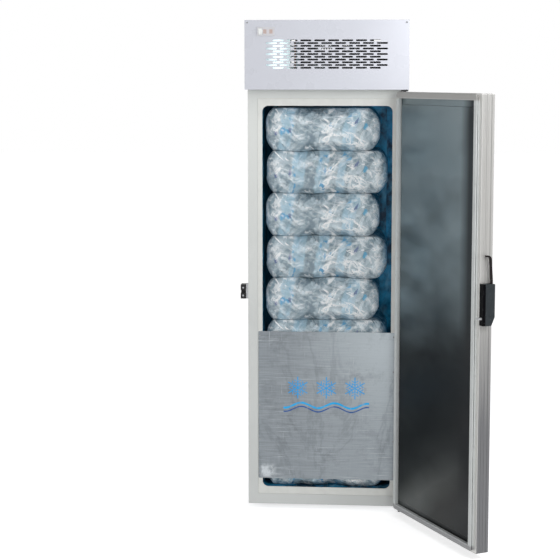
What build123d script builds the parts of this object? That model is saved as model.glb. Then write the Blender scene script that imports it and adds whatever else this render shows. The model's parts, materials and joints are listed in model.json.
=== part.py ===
from build123d import *
import os

# An upright ice storage cabinet: insulated body, one full door and a machine compartment on top.
# Millimetres, +Z up, front towards -Y. The origin is on the floor, at the middle of the base frame's area.
# The cabinet stands with its door open, as it is kept on view. The door is drawn shut and then swung open.

os.makedirs("parts", exist_ok=True)

# Whole cabinet
cabinet_width = 690.0
cabinet_height = 2120.0
cabinet_depth = 720.0
fascia_height = 290.0
fascia_overhang = 72.0
body_inset = 6.0
base_height = 25.0
panel_sheet = 1.2
hairline = 0.3
overrun = 5.0

# Insulated body
side_wall = 62.0
rear_wall = 62.0
floor_wall = 77.0
ceiling_wall = 69.0
mouth_corner = 25.0
band_side = 42.0
band_bottom = 45.0
band_top = 38.0
band_lip_depth = 6.0
breaker_recess = 2.0
breaker_thickness = 4.0
foam_joint = 0.1

# Base frame, an upside-down channel bent into a ring
base_side_inset = 39.0
base_front_inset = 90.0
base_rear_inset = 30.0
base_channel_width = 40.0
base_channel_sheet = 2.5

# Guard plate across the lower half of the mouth
guard_height = 649.0
guard_above_mouth = 38.0
guard_edge_gap = 2.0
guard_corner = 4.0
guard_screw_edge = 5.5
guard_screw_end = 19.0
guard_screw_rows = 5
guard_screw_head = 8.0
guard_screw_head_height = 2.4
guard_screw_shank = 4.0
guard_screw_hole_gap = 0.2

# Door
door_bottom_gap = 3.0
door_top_gap = 9.0
door_free_inset = 5.0
door_setback = 2.0
door_thickness = 55.0
door_corner = 6.0
door_open_angle = 118.0
hinge_inset = 18.0
hinge_setback = 30.0
profile_web = 2.5
profile_lip_sheet = 1.5
profile_front_lip = 12.0
profile_rear_lip = 24.0
profile_groove_width = 4.0
profile_groove_depth = 1.2
profile_groove_pitch = 14.0
profile_groove_count = 3
mitre_gap = 0.2
skin_sheet = 1.0
liner_sheet = 1.0
liner_press_corner = 3.0
liner_press_wall = 4.0
liner_rise = 7.5
liner_panel_inset = 52.0
gasket_width = 20.0
gasket_outer_inset = 16.0
gasket_top_inset = 15.0
gasket_bottom_inset = 13.0
gasket_corner = 10.0
gasket_lip_width = 8.0
gasket_lip_depth = 4.0

# Hinges
hinge_plate = 6.0
hinge_plate_width = 30.0
hinge_plate_front = 22.0
hinge_top_rear = 38.0
hinge_bottom_rear = 100.0
hinge_pin_diameter = 12.0
hinge_pin_reach = 20.0
hinge_running_gap = 0.05
bush_diameter = 20.0
bush_length = 24.0
bush_seat_gap = 0.1

# Latch on the free edge of the door
housing_width = 30.0
housing_depth = 52.0
housing_height = 161.0
housing_bottom = 934.5
housing_chamfer_run = 16.0
housing_chamfer_rise = 36.0
housing_edge = 3.0
slot_width = 17.0
slot_depth = 35.0
slot_height = 75.0
lever_width = 11.0
lever_stem_width = 9.0
lever_thickness = 6.5
lever_rise = 107.0
lever_hook = 20.0
lever_lean = 7.0
lever_foot = 12.0
lever_pivot_height = 110.0
lever_pivot_setback = 15.0
lever_belly = 6.0
lever_bend = 14.0
pivot_pin_diameter = 6.0
pivot_running_gap = 0.05
link_arm = 20.0
link_pin_diameter = 4.0
link_slot_gap = 0.4
link_eye_drop = 9.0
tongue_height = 8.0
tongue_width = 11.0
tongue_centre = 27.5
tongue_reach = 19.0
tongue_tail = 22.0
tongue_tab_sheet = 3.0
tongue_tab_depth = 6.5
tongue_gap = 0.3
tongue_travel = 8.6
pocket_margin = 1.0
lock_diameter = 15.0
lock_proud = 2.0
lock_depth = 13.0
lock_centre = 60.5
lock_running_gap = 0.05
key_slot_length = 8.0
key_slot_width = 1.6
key_slot_depth = 6.0

# Keeper on the side of the body
keeper_width = 22.0
keeper_height = 61.5
keeper_depth = 40.0
keeper_proud = 4.0
keeper_notch_height = 13.0
keeper_notch_depth = 18.0
keeper_edge = 2.0
bracket_thickness = 10.0
bracket_depth = 46.0
keeper_screw_diameter = 8.0
keeper_screw_head = 1.6
keeper_screw_offset = 17.0
keeper_screw_shank = 3.6
keeper_screw_length = 20.0

# Machine compartment
fascia_return = 25.0
slot_rows = 11
slot_long_row_count = 9
slot_length = 46.0
slot_gap = 12.0
grille_slot_height = 7.2
slot_row_pitch = 11.4
slot_top_row = 85.0
fascia_screw_edge = 11.0
fascia_screw_head = 7.0
fascia_screw_head_height = 1.8
fascia_screw_shank = 3.6
fascia_screw_length = 9.0
deck_sheet = 1.5
hood_flange = 20.0
rear_slot_columns = 6
rear_slot_rows = 8
rear_slot_length = 60.0
rear_slot_height = 6.0
rear_slot_pitch_x = 84.0
rear_slot_pitch_z = 20.0
rear_slot_centre = 150.0

# Controller and switch in the fascia
bezel_width = 74.0
bezel_height = 38.0
bezel_proud = 3.0
bezel_corner = 3.0
bezel_overlap = 2.0
bezel_left = 53.0
bezel_top = 29.0
controller_depth = 60.0
rocker_width = 16.6
rocker_radius = 13.6
rocker_gap = 0.5
rocker_centre = 14.0
rocker_pocket_depth = 24.0
rocker_front = 2.5
rocker_back = 8.0
rocker_throw = 16.0
window_width = 44.0
window_height = 22.0
window_sheet = 2.0
window_centre = 47.0
window_recess = 0.6

# Condensing unit
tray_sheet = 2.0
tray_flange = 14.0
tray_electric_gap = 17.0
tray_right_gap = 14.0
tray_front_gap = 18.0
tray_depth = 500.0
coil_side_gap = 25.0
coil_end_gap = 130.0
coil_height = 226.0
coil_depth = 62.0
coil_front_gap = 14.0
fin_sheet = 2.0
fin_pitch = 11.0
coil_tube_diameter = 9.0
coil_tube_rows = 5
end_plate_sheet = 2.0
shroud_sheet = 1.5
shroud_depth = 34.0
fan_diameter = 196.0
fan_ring_gap = 5.0
fan_ring_sheet = 2.0
fan_hub_diameter = 46.0
fan_hub_length = 18.0
fan_blade_count = 5
fan_blade_chord = 56.0
fan_blade_sheet = 2.0
fan_blade_angle = 28.0
fan_bore = 8.0
fan_running_gap = 0.05
motor_diameter = 76.0
motor_length = 58.0
motor_gap = 8.0
motor_arm_width = 12.0
motor_arm_sheet = 3.0
compressor_right_gap = 135.0
compressor_y = 70.0
compressor_diameter = 168.0
compressor_height = 184.0
compressor_dome = 50.0
compressor_band = 5.0
compressor_band_height = 10.0
compressor_plate_x = 220.0
compressor_plate_y = 150.0
compressor_plate = 3.0
foot_diameter = 26.0
foot_height = 17.0
foot_inset = 16.0
foot_edge = 3.0
foot_bolt = 6.0
terminal_width = 64.0
terminal_depth = 32.0
terminal_height = 74.0
pipe_stub_length = 20.0
discharge_diameter = 8.0
suction_diameter = 12.0
discharge_height = 60.0
suction_height = 130.0
pipe_bend = 24.0
suction_bend = 19.0
pipe_gap = 1.0
drier_diameter = 28.0
drier_length = 96.0
drier_neck = 6.0
drier_cone = 14.0
drier_stub = 16.0
drier_lift = 14.0
electric_width = 172.0
electric_height = 216.0
electric_depth = 96.0
electric_left = 12.0
electric_front_gap = 16.0
electric_wall = 2.5
electric_lid = 6.0
electric_corner = 6.0
gland_thread = 20.0
gland_bore = 10.0
gland_nut = 27.0
gland_proud = 18.0
gland_inside = 10.0
gland_side = 99.0
gland_height = 45.0

# Evaporator behind the sacks
evap_cover_side_gap = 27.0
evap_cover_height = 600.0
evap_cover_depth = 118.0
evap_cover_sheet = 1.2
evap_cover_top_gap = 16.0
evap_coil_side_gap = 40.0
evap_coil_height = 200.0
evap_coil_depth = 72.0
evap_coil_lift = 60.0
evap_fan_top = 190.0
evap_fan_from_pipe = 86.0
evap_fan_diameter = 176.0
evap_fan_setback = 14.0
evap_slot_count = 8
evap_slot_length = 300.0
evap_slot_height = 8.0
evap_slot_pitch = 20.0
evap_slot_lift = 34.0
evap_bracket_width = 60.0

# Floor drain
drain_diameter = 26.0
drain_bore = 20.0
drain_flange = 44.0
drain_flange_sheet = 2.0
drain_rear_gap = 98.0
drain_below = 17.0

# Sacks of ice
sack_count = 9
sack_gap = 0.4
sack_left_gap = 9.0
sack_right_gap = 28.0
sack_front_gap = 8.0
sack_rear_gap = 40.0
sack_top_gap = 9.0
sack_corner = 62.0
sack_edge = 46.0

# Places worked out from the sizes above
front_y = -cabinet_depth / 2
rear_y = cabinet_depth / 2
body_front_y = front_y + fascia_overhang
body_half = cabinet_width / 2 - body_inset
body_bottom = base_height
body_top = cabinet_height - fascia_height
mouth_half = body_half - side_wall
mouth_bottom = body_bottom + floor_wall
mouth_top = body_top - ceiling_wall
mouth_rear_y = rear_y - rear_wall
band_half = body_half - band_side
band_low = body_bottom + band_bottom
band_high = body_top - band_top
foam_front_y = body_front_y + band_lip_depth
breaker_front_y = body_front_y + breaker_recess
door_free_x = -cabinet_width / 2 + door_free_inset
door_hinge_x = cabinet_width / 2
door_low = body_bottom + door_bottom_gap
door_high = body_top - door_top_gap
door_outer_y = front_y + door_setback
door_inner_y = door_outer_y + door_thickness
hinge_x = cabinet_width / 2 - hinge_inset
hinge_y = front_y + hinge_setback
deck_top = body_top + deck_sheet
hood_top = cabinet_height - panel_sheet
tray_top = deck_top + tray_sheet
electric_low_x = -body_half + electric_left
tray_low_x = electric_low_x + electric_width + tray_electric_gap
tray_high_x = body_half - tray_right_gap
coil_low_x = tray_low_x + coil_side_gap
coil_high_x = tray_high_x - coil_end_gap
coil_width = coil_high_x - coil_low_x
coil_centre_x = (coil_low_x + coil_high_x) / 2
compressor_x = tray_high_x - compressor_right_gap
gland_x = -body_half + gland_side
drain_y = mouth_rear_y - drain_rear_gap
guard_low = mouth_bottom + guard_above_mouth
guard_high = guard_low + guard_height
guard_half = band_half - guard_edge_gap
latch_x = door_free_x - housing_width / 2
housing_front_y = door_inner_y - housing_depth
housing_top = housing_bottom + housing_height
tongue_z = housing_bottom + tongue_centre
hinge_line = Axis((hinge_x, hinge_y, 0), (0, 0, 1))


def block(low, high, mode=Mode.ADD):
    """A box between two corners, in the part being built."""
    sizes = [top - bottom for bottom, top in zip(low, high)]
    with Locations(tuple(low)):
        Box(*sizes, align=(Align.MIN, Align.MIN, Align.MIN), mode=mode)


def front_plane(y):
    """An upright plane that faces the front, with X and Z as its sketch directions."""
    return Plane.XZ.offset(-y)


def side_plane(x):
    """An upright plane that faces +X, with Y and Z as its sketch directions."""
    return Plane.YZ.offset(x)


def rectangle_between(low_x, high_x, low_z, high_z, corner=0, mode=Mode.ADD):
    """A rectangle between two corners, rounded where a corner radius is given."""
    with Locations(((low_x + high_x) / 2, (low_z + high_z) / 2)):
        if corner:
            RectangleRounded(high_x - low_x, high_z - low_z, corner, mode=mode)
        else:
            Rectangle(high_x - low_x, high_z - low_z, mode=mode)


def save(piece, name):
    """Write a piece that stays with the cabinet."""
    piece.part.label = name
    export_step(piece.part, f"parts/{name}.step")


def save_on_door(piece, name):
    """Write a piece of the door, swung open about the hinge line."""
    swung = piece.part.rotate(hinge_line, door_open_angle)
    swung.label = name
    export_step(swung, f"parts/{name}.step")


# Base frame and the insulated body
base_front_y = body_front_y + base_front_inset
base_rear_y = rear_y - base_rear_inset
base_half = body_half - base_side_inset

with BuildPart() as base_frame:
    with BuildSketch(Plane.XY):
        rectangle_between(-base_half, base_half, base_front_y, base_rear_y)
        rectangle_between(
            -base_half + base_channel_width,
            base_half - base_channel_width,
            base_front_y + base_channel_width,
            base_rear_y - base_channel_width,
            mode=Mode.SUBTRACT,
        )
    extrude(amount=base_height)
    with BuildSketch(Plane.XY):
        rectangle_between(
            -base_half + base_channel_sheet,
            base_half - base_channel_sheet,
            base_front_y + base_channel_sheet,
            base_rear_y - base_channel_sheet,
        )
        rectangle_between(
            -base_half + base_channel_width - base_channel_sheet,
            base_half - base_channel_width + base_channel_sheet,
            base_front_y + base_channel_width - base_channel_sheet,
            base_rear_y - base_channel_width + base_channel_sheet,
            mode=Mode.SUBTRACT,
        )
    extrude(amount=base_height - base_channel_sheet, mode=Mode.SUBTRACT)
save(base_frame, "base_frame")

with BuildPart() as base_pan:
    block(
        (-body_half + panel_sheet, body_front_y + panel_sheet, body_bottom),
        (body_half - panel_sheet, rear_y - panel_sheet, body_bottom + panel_sheet),
    )
    with BuildSketch(Plane.XY.offset(body_bottom)):
        with Locations((0, drain_y)):
            Circle(drain_diameter / 2)
    extrude(amount=panel_sheet, mode=Mode.SUBTRACT)
save(base_pan, "base_pan")

with BuildPart() as outer_shell:
    block(
        (-body_half, body_front_y + panel_sheet, body_bottom),
        (body_half, rear_y, body_top),
    )
    block(
        (-body_half + panel_sheet, body_front_y + panel_sheet, body_bottom),
        (body_half - panel_sheet, rear_y - panel_sheet, body_top),
        mode=Mode.SUBTRACT,
    )
save(outer_shell, "outer_shell")

suction_x = compressor_x - compressor_diameter / 2 - pipe_stub_length
suction_drop_y = mouth_rear_y - evap_coil_depth / 2
evap_coil_low = mouth_top - evap_cover_top_gap - evap_cover_height + evap_coil_lift
evap_coil_high = evap_coil_low + evap_coil_height
suction_hole = suction_diameter / 2 + pipe_gap

foam_half = body_half - panel_sheet
foam_low = body_bottom + panel_sheet
foam_rear_y = rear_y - panel_sheet
cavity_half = mouth_half + panel_sheet
cavity_low = mouth_bottom - panel_sheet
cavity_high = mouth_top + panel_sheet
cavity_rear_y = mouth_rear_y + panel_sheet

with BuildPart() as insulation:
    block((-foam_half, foam_front_y, foam_low), (foam_half, foam_rear_y, cavity_low))
    block((-foam_half, foam_front_y, cavity_high), (foam_half, foam_rear_y, body_top))
    block(
        (-foam_half, cavity_rear_y, cavity_low + foam_joint),
        (foam_half, foam_rear_y, cavity_high - foam_joint),
    )
    for side in (-1, 1):
        slab_x = sorted((side * cavity_half, side * foam_half))
        block(
            (slab_x[0], foam_front_y, cavity_low + foam_joint),
            (slab_x[1], cavity_rear_y - foam_joint, cavity_high - foam_joint),
        )
    with BuildSketch(Plane.XY.offset(mouth_bottom)):
        with Locations((0, drain_y)):
            Circle(drain_diameter / 2)
    extrude(amount=-floor_wall, mode=Mode.SUBTRACT)
    with BuildSketch(Plane.XY.offset(mouth_top)):
        with Locations((suction_x, suction_drop_y)):
            Circle(suction_hole)
    extrude(amount=ceiling_wall, mode=Mode.SUBTRACT)
save(insulation, "insulation")

with BuildPart() as inner_liner:
    with BuildSketch(front_plane(foam_front_y)):
        rectangle_between(
            -mouth_half - panel_sheet,
            mouth_half + panel_sheet,
            mouth_bottom - panel_sheet,
            mouth_top + panel_sheet,
            mouth_corner + panel_sheet,
        )
    extrude(amount=-(mouth_rear_y + panel_sheet - foam_front_y))
    with BuildSketch(front_plane(foam_front_y)):
        rectangle_between(-mouth_half, mouth_half, mouth_bottom, mouth_top, mouth_corner)
    extrude(amount=-(mouth_rear_y - foam_front_y), mode=Mode.SUBTRACT)
    with BuildSketch(Plane.XY.offset(mouth_bottom)):
        with Locations((0, drain_y)):
            Circle(drain_diameter / 2)
    extrude(amount=-floor_wall, mode=Mode.SUBTRACT)
    with BuildSketch(Plane.XY.offset(mouth_top)):
        with Locations((suction_x, suction_drop_y)):
            Circle(suction_hole)
    extrude(amount=ceiling_wall, mode=Mode.SUBTRACT)
save(inner_liner, "inner_liner")

with BuildPart() as front_frame:
    with BuildSketch(front_plane(body_front_y + panel_sheet)):
        rectangle_between(-body_half, body_half, body_bottom, body_top)
        rectangle_between(-band_half, band_half, band_low, band_high, mode=Mode.SUBTRACT)
    extrude(amount=panel_sheet)
    with BuildSketch(front_plane(foam_front_y)):
        rectangle_between(
            -band_half - panel_sheet,
            band_half + panel_sheet,
            band_low - panel_sheet,
            band_high + panel_sheet,
        )
        rectangle_between(-band_half, band_half, band_low, band_high, mode=Mode.SUBTRACT)
    extrude(amount=band_lip_depth)
save(front_frame, "front_frame")

with BuildPart() as breaker_frame:
    with BuildSketch(front_plane(breaker_front_y)):
        rectangle_between(
            -band_half + hairline, band_half - hairline, band_low + hairline, band_high - hairline
        )
        rectangle_between(
            -mouth_half, mouth_half, mouth_bottom, mouth_top, mouth_corner, mode=Mode.SUBTRACT
        )
    extrude(amount=-breaker_thickness)
    screw_x = guard_half - guard_screw_edge
    screw_pitch = (guard_height - 2 * guard_screw_end) / (guard_screw_rows - 1)
    with BuildSketch(front_plane(breaker_front_y)):
        with Locations((0, (guard_low + guard_high) / 2)):
            with GridLocations(2 * screw_x, screw_pitch, 2, guard_screw_rows):
                Circle(guard_screw_shank / 2 + guard_screw_hole_gap)
    extrude(amount=-breaker_thickness, mode=Mode.SUBTRACT)
save(breaker_frame, "breaker_frame")

with BuildPart() as guard_plate:
    with BuildSketch(front_plane(breaker_front_y)):
        rectangle_between(-guard_half, guard_half, guard_low, guard_high, guard_corner)
        with Locations((0, (guard_low + guard_high) / 2)):
            with GridLocations(2 * screw_x, screw_pitch, 2, guard_screw_rows):
                Circle(guard_screw_shank / 2 + guard_screw_hole_gap, mode=Mode.SUBTRACT)
    extrude(amount=panel_sheet)
save(guard_plate, "guard_plate")

guard_face_y = breaker_front_y - panel_sheet
with BuildPart() as guard_screws:
    with BuildSketch(front_plane(guard_face_y)):
        with Locations((0, (guard_low + guard_high) / 2)):
            with GridLocations(2 * screw_x, screw_pitch, 2, guard_screw_rows):
                Circle(guard_screw_head / 2)
    extrude(amount=guard_screw_head_height)
    head_rims = guard_screws.faces().filter_by(Axis.Y).group_by(Axis.Y)[0].edges()
    fillet(head_rims, guard_screw_head_height / 2)
    with BuildSketch(front_plane(guard_face_y)):
        with Locations((0, (guard_low + guard_high) / 2)):
            with GridLocations(2 * screw_x, screw_pitch, 2, guard_screw_rows):
                Circle(guard_screw_shank / 2)
    extrude(amount=-(panel_sheet + breaker_thickness))
save(guard_screws, "guard_screws")

# Keeper for the latch, on the left side of the body
keeper_low = tongue_z - keeper_height / 2
keeper_high = tongue_z + keeper_height / 2
keeper_front_y = body_front_y - keeper_proud
bracket_left_x = -body_half - bracket_thickness

with BuildPart() as keeper_bracket:
    block(
        (bracket_left_x, body_front_y, keeper_low),
        (-body_half, body_front_y + bracket_depth, keeper_high),
    )
    bracket_corners = keeper_bracket.edges().filter_by(Axis.Z).group_by(Axis.X)[0]
    fillet(bracket_corners, keeper_edge)
save(keeper_bracket, "keeper_bracket")

with BuildPart() as keeper:
    block(
        (bracket_left_x - keeper_width, keeper_front_y, keeper_low),
        (bracket_left_x, keeper_front_y + keeper_depth, keeper_high),
    )
    fillet(keeper.edges().filter_by(Axis.Y).group_by(Axis.X)[0], keeper_edge)
    block(
        (bracket_left_x - keeper_width, keeper_front_y, tongue_z - keeper_notch_height / 2),
        (bracket_left_x, keeper_front_y + keeper_notch_depth, tongue_z + keeper_notch_height / 2),
        mode=Mode.SUBTRACT,
    )
    with BuildSketch(front_plane(keeper_front_y)):
        with Locations((bracket_left_x - keeper_width / 2, tongue_z)):
            with GridLocations(0, 2 * keeper_screw_offset, 1, 2):
                Circle(keeper_screw_shank / 2)
    extrude(amount=-keeper_screw_length, mode=Mode.SUBTRACT)
save(keeper, "keeper")

with BuildPart() as keeper_screws:
    with BuildSketch(front_plane(keeper_front_y)):
        with Locations((bracket_left_x - keeper_width / 2, tongue_z)):
            with GridLocations(0, 2 * keeper_screw_offset, 1, 2):
                Circle(keeper_screw_diameter / 2)
    extrude(amount=keeper_screw_head)
    with BuildSketch(front_plane(keeper_front_y)):
        with Locations((bracket_left_x - keeper_width / 2, tongue_z)):
            with GridLocations(0, 2 * keeper_screw_offset, 1, 2):
                Circle(keeper_screw_shank / 2)
    extrude(amount=-keeper_screw_length)
save(keeper_screws, "keeper_screws")

# Hinge brackets, each a plate with an upright pin
plate_low_x = hinge_x - hinge_plate_width / 2
plate_high_x = hinge_x + hinge_plate_width / 2
plate_front_y = hinge_y - hinge_plate_front

with BuildPart() as top_hinge:
    block(
        (plate_low_x, plate_front_y, body_top - hinge_plate),
        (plate_high_x, hinge_y + hinge_top_rear, body_top),
    )
    fillet(top_hinge.edges().filter_by(Axis.Z).group_by(Axis.Y)[0], hinge_plate)
    with BuildSketch(Plane.XY.offset(body_top - hinge_plate)):
        with Locations((hinge_x, hinge_y)):
            Circle(hinge_pin_diameter / 2)
    extrude(amount=-(door_top_gap - hinge_plate + hinge_pin_reach))
save(top_hinge, "top_hinge")

with BuildPart() as bottom_hinge:
    block(
        (plate_low_x, plate_front_y, body_bottom - hinge_plate),
        (plate_high_x, hinge_y + hinge_bottom_rear, body_bottom),
    )
    fillet(bottom_hinge.edges().filter_by(Axis.Z).group_by(Axis.Y)[0], hinge_plate)
    with BuildSketch(Plane.XY.offset(body_bottom)):
        with Locations((hinge_x, hinge_y)):
            Circle(hinge_pin_diameter / 2)
    extrude(amount=door_bottom_gap + hinge_pin_reach)
save(bottom_hinge, "bottom_hinge")

# Machine compartment
with BuildPart() as machine_deck:
    block(
        (-body_half, front_y + fascia_return + hairline, body_top),
        (body_half, rear_y, deck_top),
    )
    with BuildSketch(Plane.XY.offset(body_top)):
        with Locations((suction_x, suction_drop_y)):
            Circle(suction_hole)
    extrude(amount=deck_sheet, mode=Mode.SUBTRACT)
save(machine_deck, "machine_deck")

with BuildPart() as hood_sides:
    for side in (-1, 1):
        side_x = sorted((side * body_half, side * (body_half - panel_sheet)))
        flange_x = sorted((side * body_half, side * (body_half - hood_flange)))
        block(
            (side_x[0], front_y + panel_sheet, deck_top),
            (side_x[1], rear_y - panel_sheet, hood_top),
        )
        block(
            (flange_x[0], front_y + panel_sheet, hood_top - panel_sheet),
            (flange_x[1], rear_y - panel_sheet, hood_top),
        )
        block(
            (flange_x[0], front_y + panel_sheet, deck_top),
            (flange_x[1], front_y + 2 * panel_sheet, hood_top),
        )
    with BuildSketch(front_plane(front_y)):
        with Locations((0, cabinet_height - fascia_screw_edge)):
            with GridLocations(cabinet_width - 2 * fascia_screw_edge, 0, 2, 1):
                Circle(fascia_screw_shank / 2)
    extrude(amount=-3 * panel_sheet, mode=Mode.SUBTRACT)
save(hood_sides, "hood_sides")

with BuildPart() as top_cover:
    block(
        (-body_half, front_y + fascia_return + hairline, hood_top),
        (body_half, rear_y, cabinet_height),
    )
save(top_cover, "top_cover")

with BuildPart() as rear_grille:
    block(
        (-body_half, rear_y - panel_sheet, deck_top),
        (body_half, rear_y, hood_top),
    )
    with BuildSketch(front_plane(rear_y)):
        with Locations((0, deck_top + rear_slot_centre)):
            with GridLocations(rear_slot_pitch_x, rear_slot_pitch_z, rear_slot_columns, rear_slot_rows):
                SlotOverall(rear_slot_length, rear_slot_height)
        with Locations((gland_x, deck_top + gland_height)):
            Circle(gland_thread / 2)
    extrude(amount=panel_sheet, mode=Mode.SUBTRACT)
save(rear_grille, "rear_grille")

with BuildPart() as cable_gland:
    with BuildSketch(front_plane(rear_y)):
        with Locations((gland_x, deck_top + gland_height)):
            RegularPolygon(gland_nut / 2, 6)
    extrude(amount=-gland_proud)
    with BuildSketch(front_plane(rear_y)):
        with Locations((gland_x, deck_top + gland_height)):
            Circle(gland_thread / 2)
    extrude(amount=panel_sheet + gland_inside)
    with BuildSketch(front_plane(rear_y + gland_proud)):
        with Locations((gland_x, deck_top + gland_height)):
            Circle(gland_bore / 2)
    extrude(amount=gland_proud + panel_sheet + gland_inside, mode=Mode.SUBTRACT)
save(cable_gland, "cable_gland")

# Fascia with its staggered slots, and the controller in it
grille_slot_pitch = slot_length + slot_gap
slot_top_z = cabinet_height - slot_top_row
bezel_x = -cabinet_width / 2 + bezel_left + bezel_width / 2
bezel_z = cabinet_height - bezel_top - bezel_height / 2

with BuildPart() as fascia:
    block(
        (-cabinet_width / 2, front_y, body_top),
        (cabinet_width / 2, front_y + fascia_return, cabinet_height),
    )
    block(
        (-cabinet_width / 2 + panel_sheet, front_y + panel_sheet, body_top + panel_sheet),
        (cabinet_width / 2 - panel_sheet, front_y + fascia_return, cabinet_height - panel_sheet),
        mode=Mode.SUBTRACT,
    )
    with BuildSketch(front_plane(front_y)):
        for row in range(slot_rows):
            row_count = slot_long_row_count - 1 + row % 2
            with Locations((0, slot_top_z - row * slot_row_pitch)):
                with GridLocations(grille_slot_pitch, 0, row_count, 1):
                    SlotOverall(slot_length, grille_slot_height)
        with Locations((bezel_x, bezel_z)):
            Rectangle(bezel_width - 2 * bezel_overlap, bezel_height - 2 * bezel_overlap)
        with Locations((0, cabinet_height - fascia_screw_edge)):
            with GridLocations(cabinet_width - 2 * fascia_screw_edge, 0, 2, 1):
                Circle(fascia_screw_shank / 2)
    extrude(amount=-panel_sheet, mode=Mode.SUBTRACT)
save(fascia, "fascia")

with BuildPart() as fascia_screws:
    with BuildSketch(front_plane(front_y)):
        with Locations((0, cabinet_height - fascia_screw_edge)):
            with GridLocations(cabinet_width - 2 * fascia_screw_edge, 0, 2, 1):
                Circle(fascia_screw_head / 2)
    extrude(amount=fascia_screw_head_height)
    fillet(fascia_screws.faces().group_by(Axis.Y)[0].edges(), fascia_screw_head_height / 2)
    with BuildSketch(front_plane(front_y)):
        with Locations((0, cabinet_height - fascia_screw_edge)):
            with GridLocations(cabinet_width - 2 * fascia_screw_edge, 0, 2, 1):
                Circle(fascia_screw_shank / 2)
    extrude(amount=-fascia_screw_length)
save(fascia_screws, "fascia_screws")

rocker_x = bezel_x - bezel_width / 2 + rocker_centre
window_x = bezel_x - bezel_width / 2 + window_centre
bezel_front_y = front_y - bezel_proud

with BuildPart() as controller:
    with BuildSketch(front_plane(front_y)):
        with Locations((bezel_x, bezel_z)):
            RectangleRounded(bezel_width, bezel_height, bezel_corner)
    extrude(amount=bezel_proud)
    with BuildSketch(front_plane(front_y)):
        with Locations((bezel_x, bezel_z)):
            Rectangle(bezel_width - 2 * bezel_overlap, bezel_height - 2 * bezel_overlap)
    extrude(amount=-controller_depth)
    with BuildSketch(front_plane(bezel_front_y)):
        with Locations((rocker_x, bezel_z)):
            Rectangle(rocker_width + 2 * rocker_gap, 2 * (rocker_radius + rocker_gap))
    extrude(amount=-rocker_pocket_depth, mode=Mode.SUBTRACT)
    with BuildSketch(front_plane(bezel_front_y)):
        with Locations((window_x, bezel_z)):
            Rectangle(window_width, window_height)
    extrude(amount=-(window_recess + window_sheet), mode=Mode.SUBTRACT)
    fillet(controller.faces().group_by(Axis.Y)[0].edges().filter_by(Axis.Y, reverse=True), window_recess / 2)
save(controller, "controller")

with BuildPart() as controller_window:
    with BuildSketch(front_plane(bezel_front_y + window_recess)):
        with Locations((window_x, bezel_z)):
            Rectangle(window_width, window_height)
    extrude(amount=-window_sheet)
save(controller_window, "controller_window")

with BuildPart() as rocker_switch:
    with BuildSketch(side_plane(rocker_x - rocker_width / 2)):
        with Locations((front_y, bezel_z)):
            Circle(rocker_radius)
        with Locations((front_y + (rocker_back - rocker_front) / 2, bezel_z)):
            Rectangle(rocker_front + rocker_back, 2 * rocker_radius, mode=Mode.INTERSECT)
        with Locations(Location((front_y - rocker_front, bezel_z), rocker_throw)):
            Rectangle(
                rocker_radius, 2 * rocker_radius, align=(Align.MAX, Align.MAX), mode=Mode.SUBTRACT
            )
    extrude(amount=rocker_width)
save(rocker_switch, "rocker_switch")

# Condensing unit on its tray
with BuildPart() as unit_tray:
    tray_low = (tray_low_x, front_y + tray_front_gap, deck_top)
    tray_high = (tray_high_x, front_y + tray_front_gap + tray_depth, deck_top + tray_flange)
    block(tray_low, tray_high)
    block(
        (tray_low[0] + tray_sheet, tray_low[1] + tray_sheet, tray_top),
        (tray_high[0] - tray_sheet, tray_high[1] - tray_sheet, deck_top + tray_flange),
        mode=Mode.SUBTRACT,
    )
save(unit_tray, "unit_tray")

coil_front_y = front_y + tray_front_gap + coil_front_gap
coil_rear_y = coil_front_y + coil_depth
coil_top = tray_top + coil_height

with BuildPart() as condenser_coil:
    fin_count = int((coil_width - 2 * end_plate_sheet) / fin_pitch)
    with Locations((coil_centre_x, (coil_front_y + coil_rear_y) / 2, tray_top + coil_height / 2)):
        with GridLocations(fin_pitch, 0, fin_count, 1):
            Box(fin_sheet, coil_depth, coil_height)
        with GridLocations(coil_width - end_plate_sheet, 0, 2, 1):
            Box(end_plate_sheet, coil_depth, coil_height)
    with BuildSketch(side_plane(coil_low_x)):
        with Locations(((coil_front_y + coil_rear_y) / 2, tray_top + coil_height / 2)):
            with GridLocations(coil_depth / 2, coil_height / coil_tube_rows, 2, coil_tube_rows):
                Circle(coil_tube_diameter / 2)
    extrude(amount=coil_width)
save(condenser_coil, "condenser_coil")

fan_z = tray_top + coil_height / 2
fan_ring_radius = fan_diameter / 2 + fan_ring_gap
shroud_rear_y = coil_rear_y + shroud_depth

with BuildPart() as condenser_shroud:
    block((coil_low_x, coil_rear_y, tray_top), (coil_high_x, shroud_rear_y, coil_top))
    block(
        (coil_low_x + shroud_sheet, coil_rear_y, tray_top + shroud_sheet),
        (coil_high_x - shroud_sheet, shroud_rear_y - shroud_sheet, coil_top - shroud_sheet),
        mode=Mode.SUBTRACT,
    )
    with BuildSketch(front_plane(shroud_rear_y)):
        with Locations((coil_centre_x, fan_z)):
            Circle(fan_ring_radius)
    extrude(amount=shroud_sheet, mode=Mode.SUBTRACT)
    with BuildSketch(front_plane(shroud_rear_y)):
        with Locations((coil_centre_x, fan_z)):
            Circle(fan_ring_radius + fan_ring_sheet)
            Circle(fan_ring_radius, mode=Mode.SUBTRACT)
    extrude(amount=shroud_depth / 2)
save(condenser_shroud, "condenser_shroud")


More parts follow.
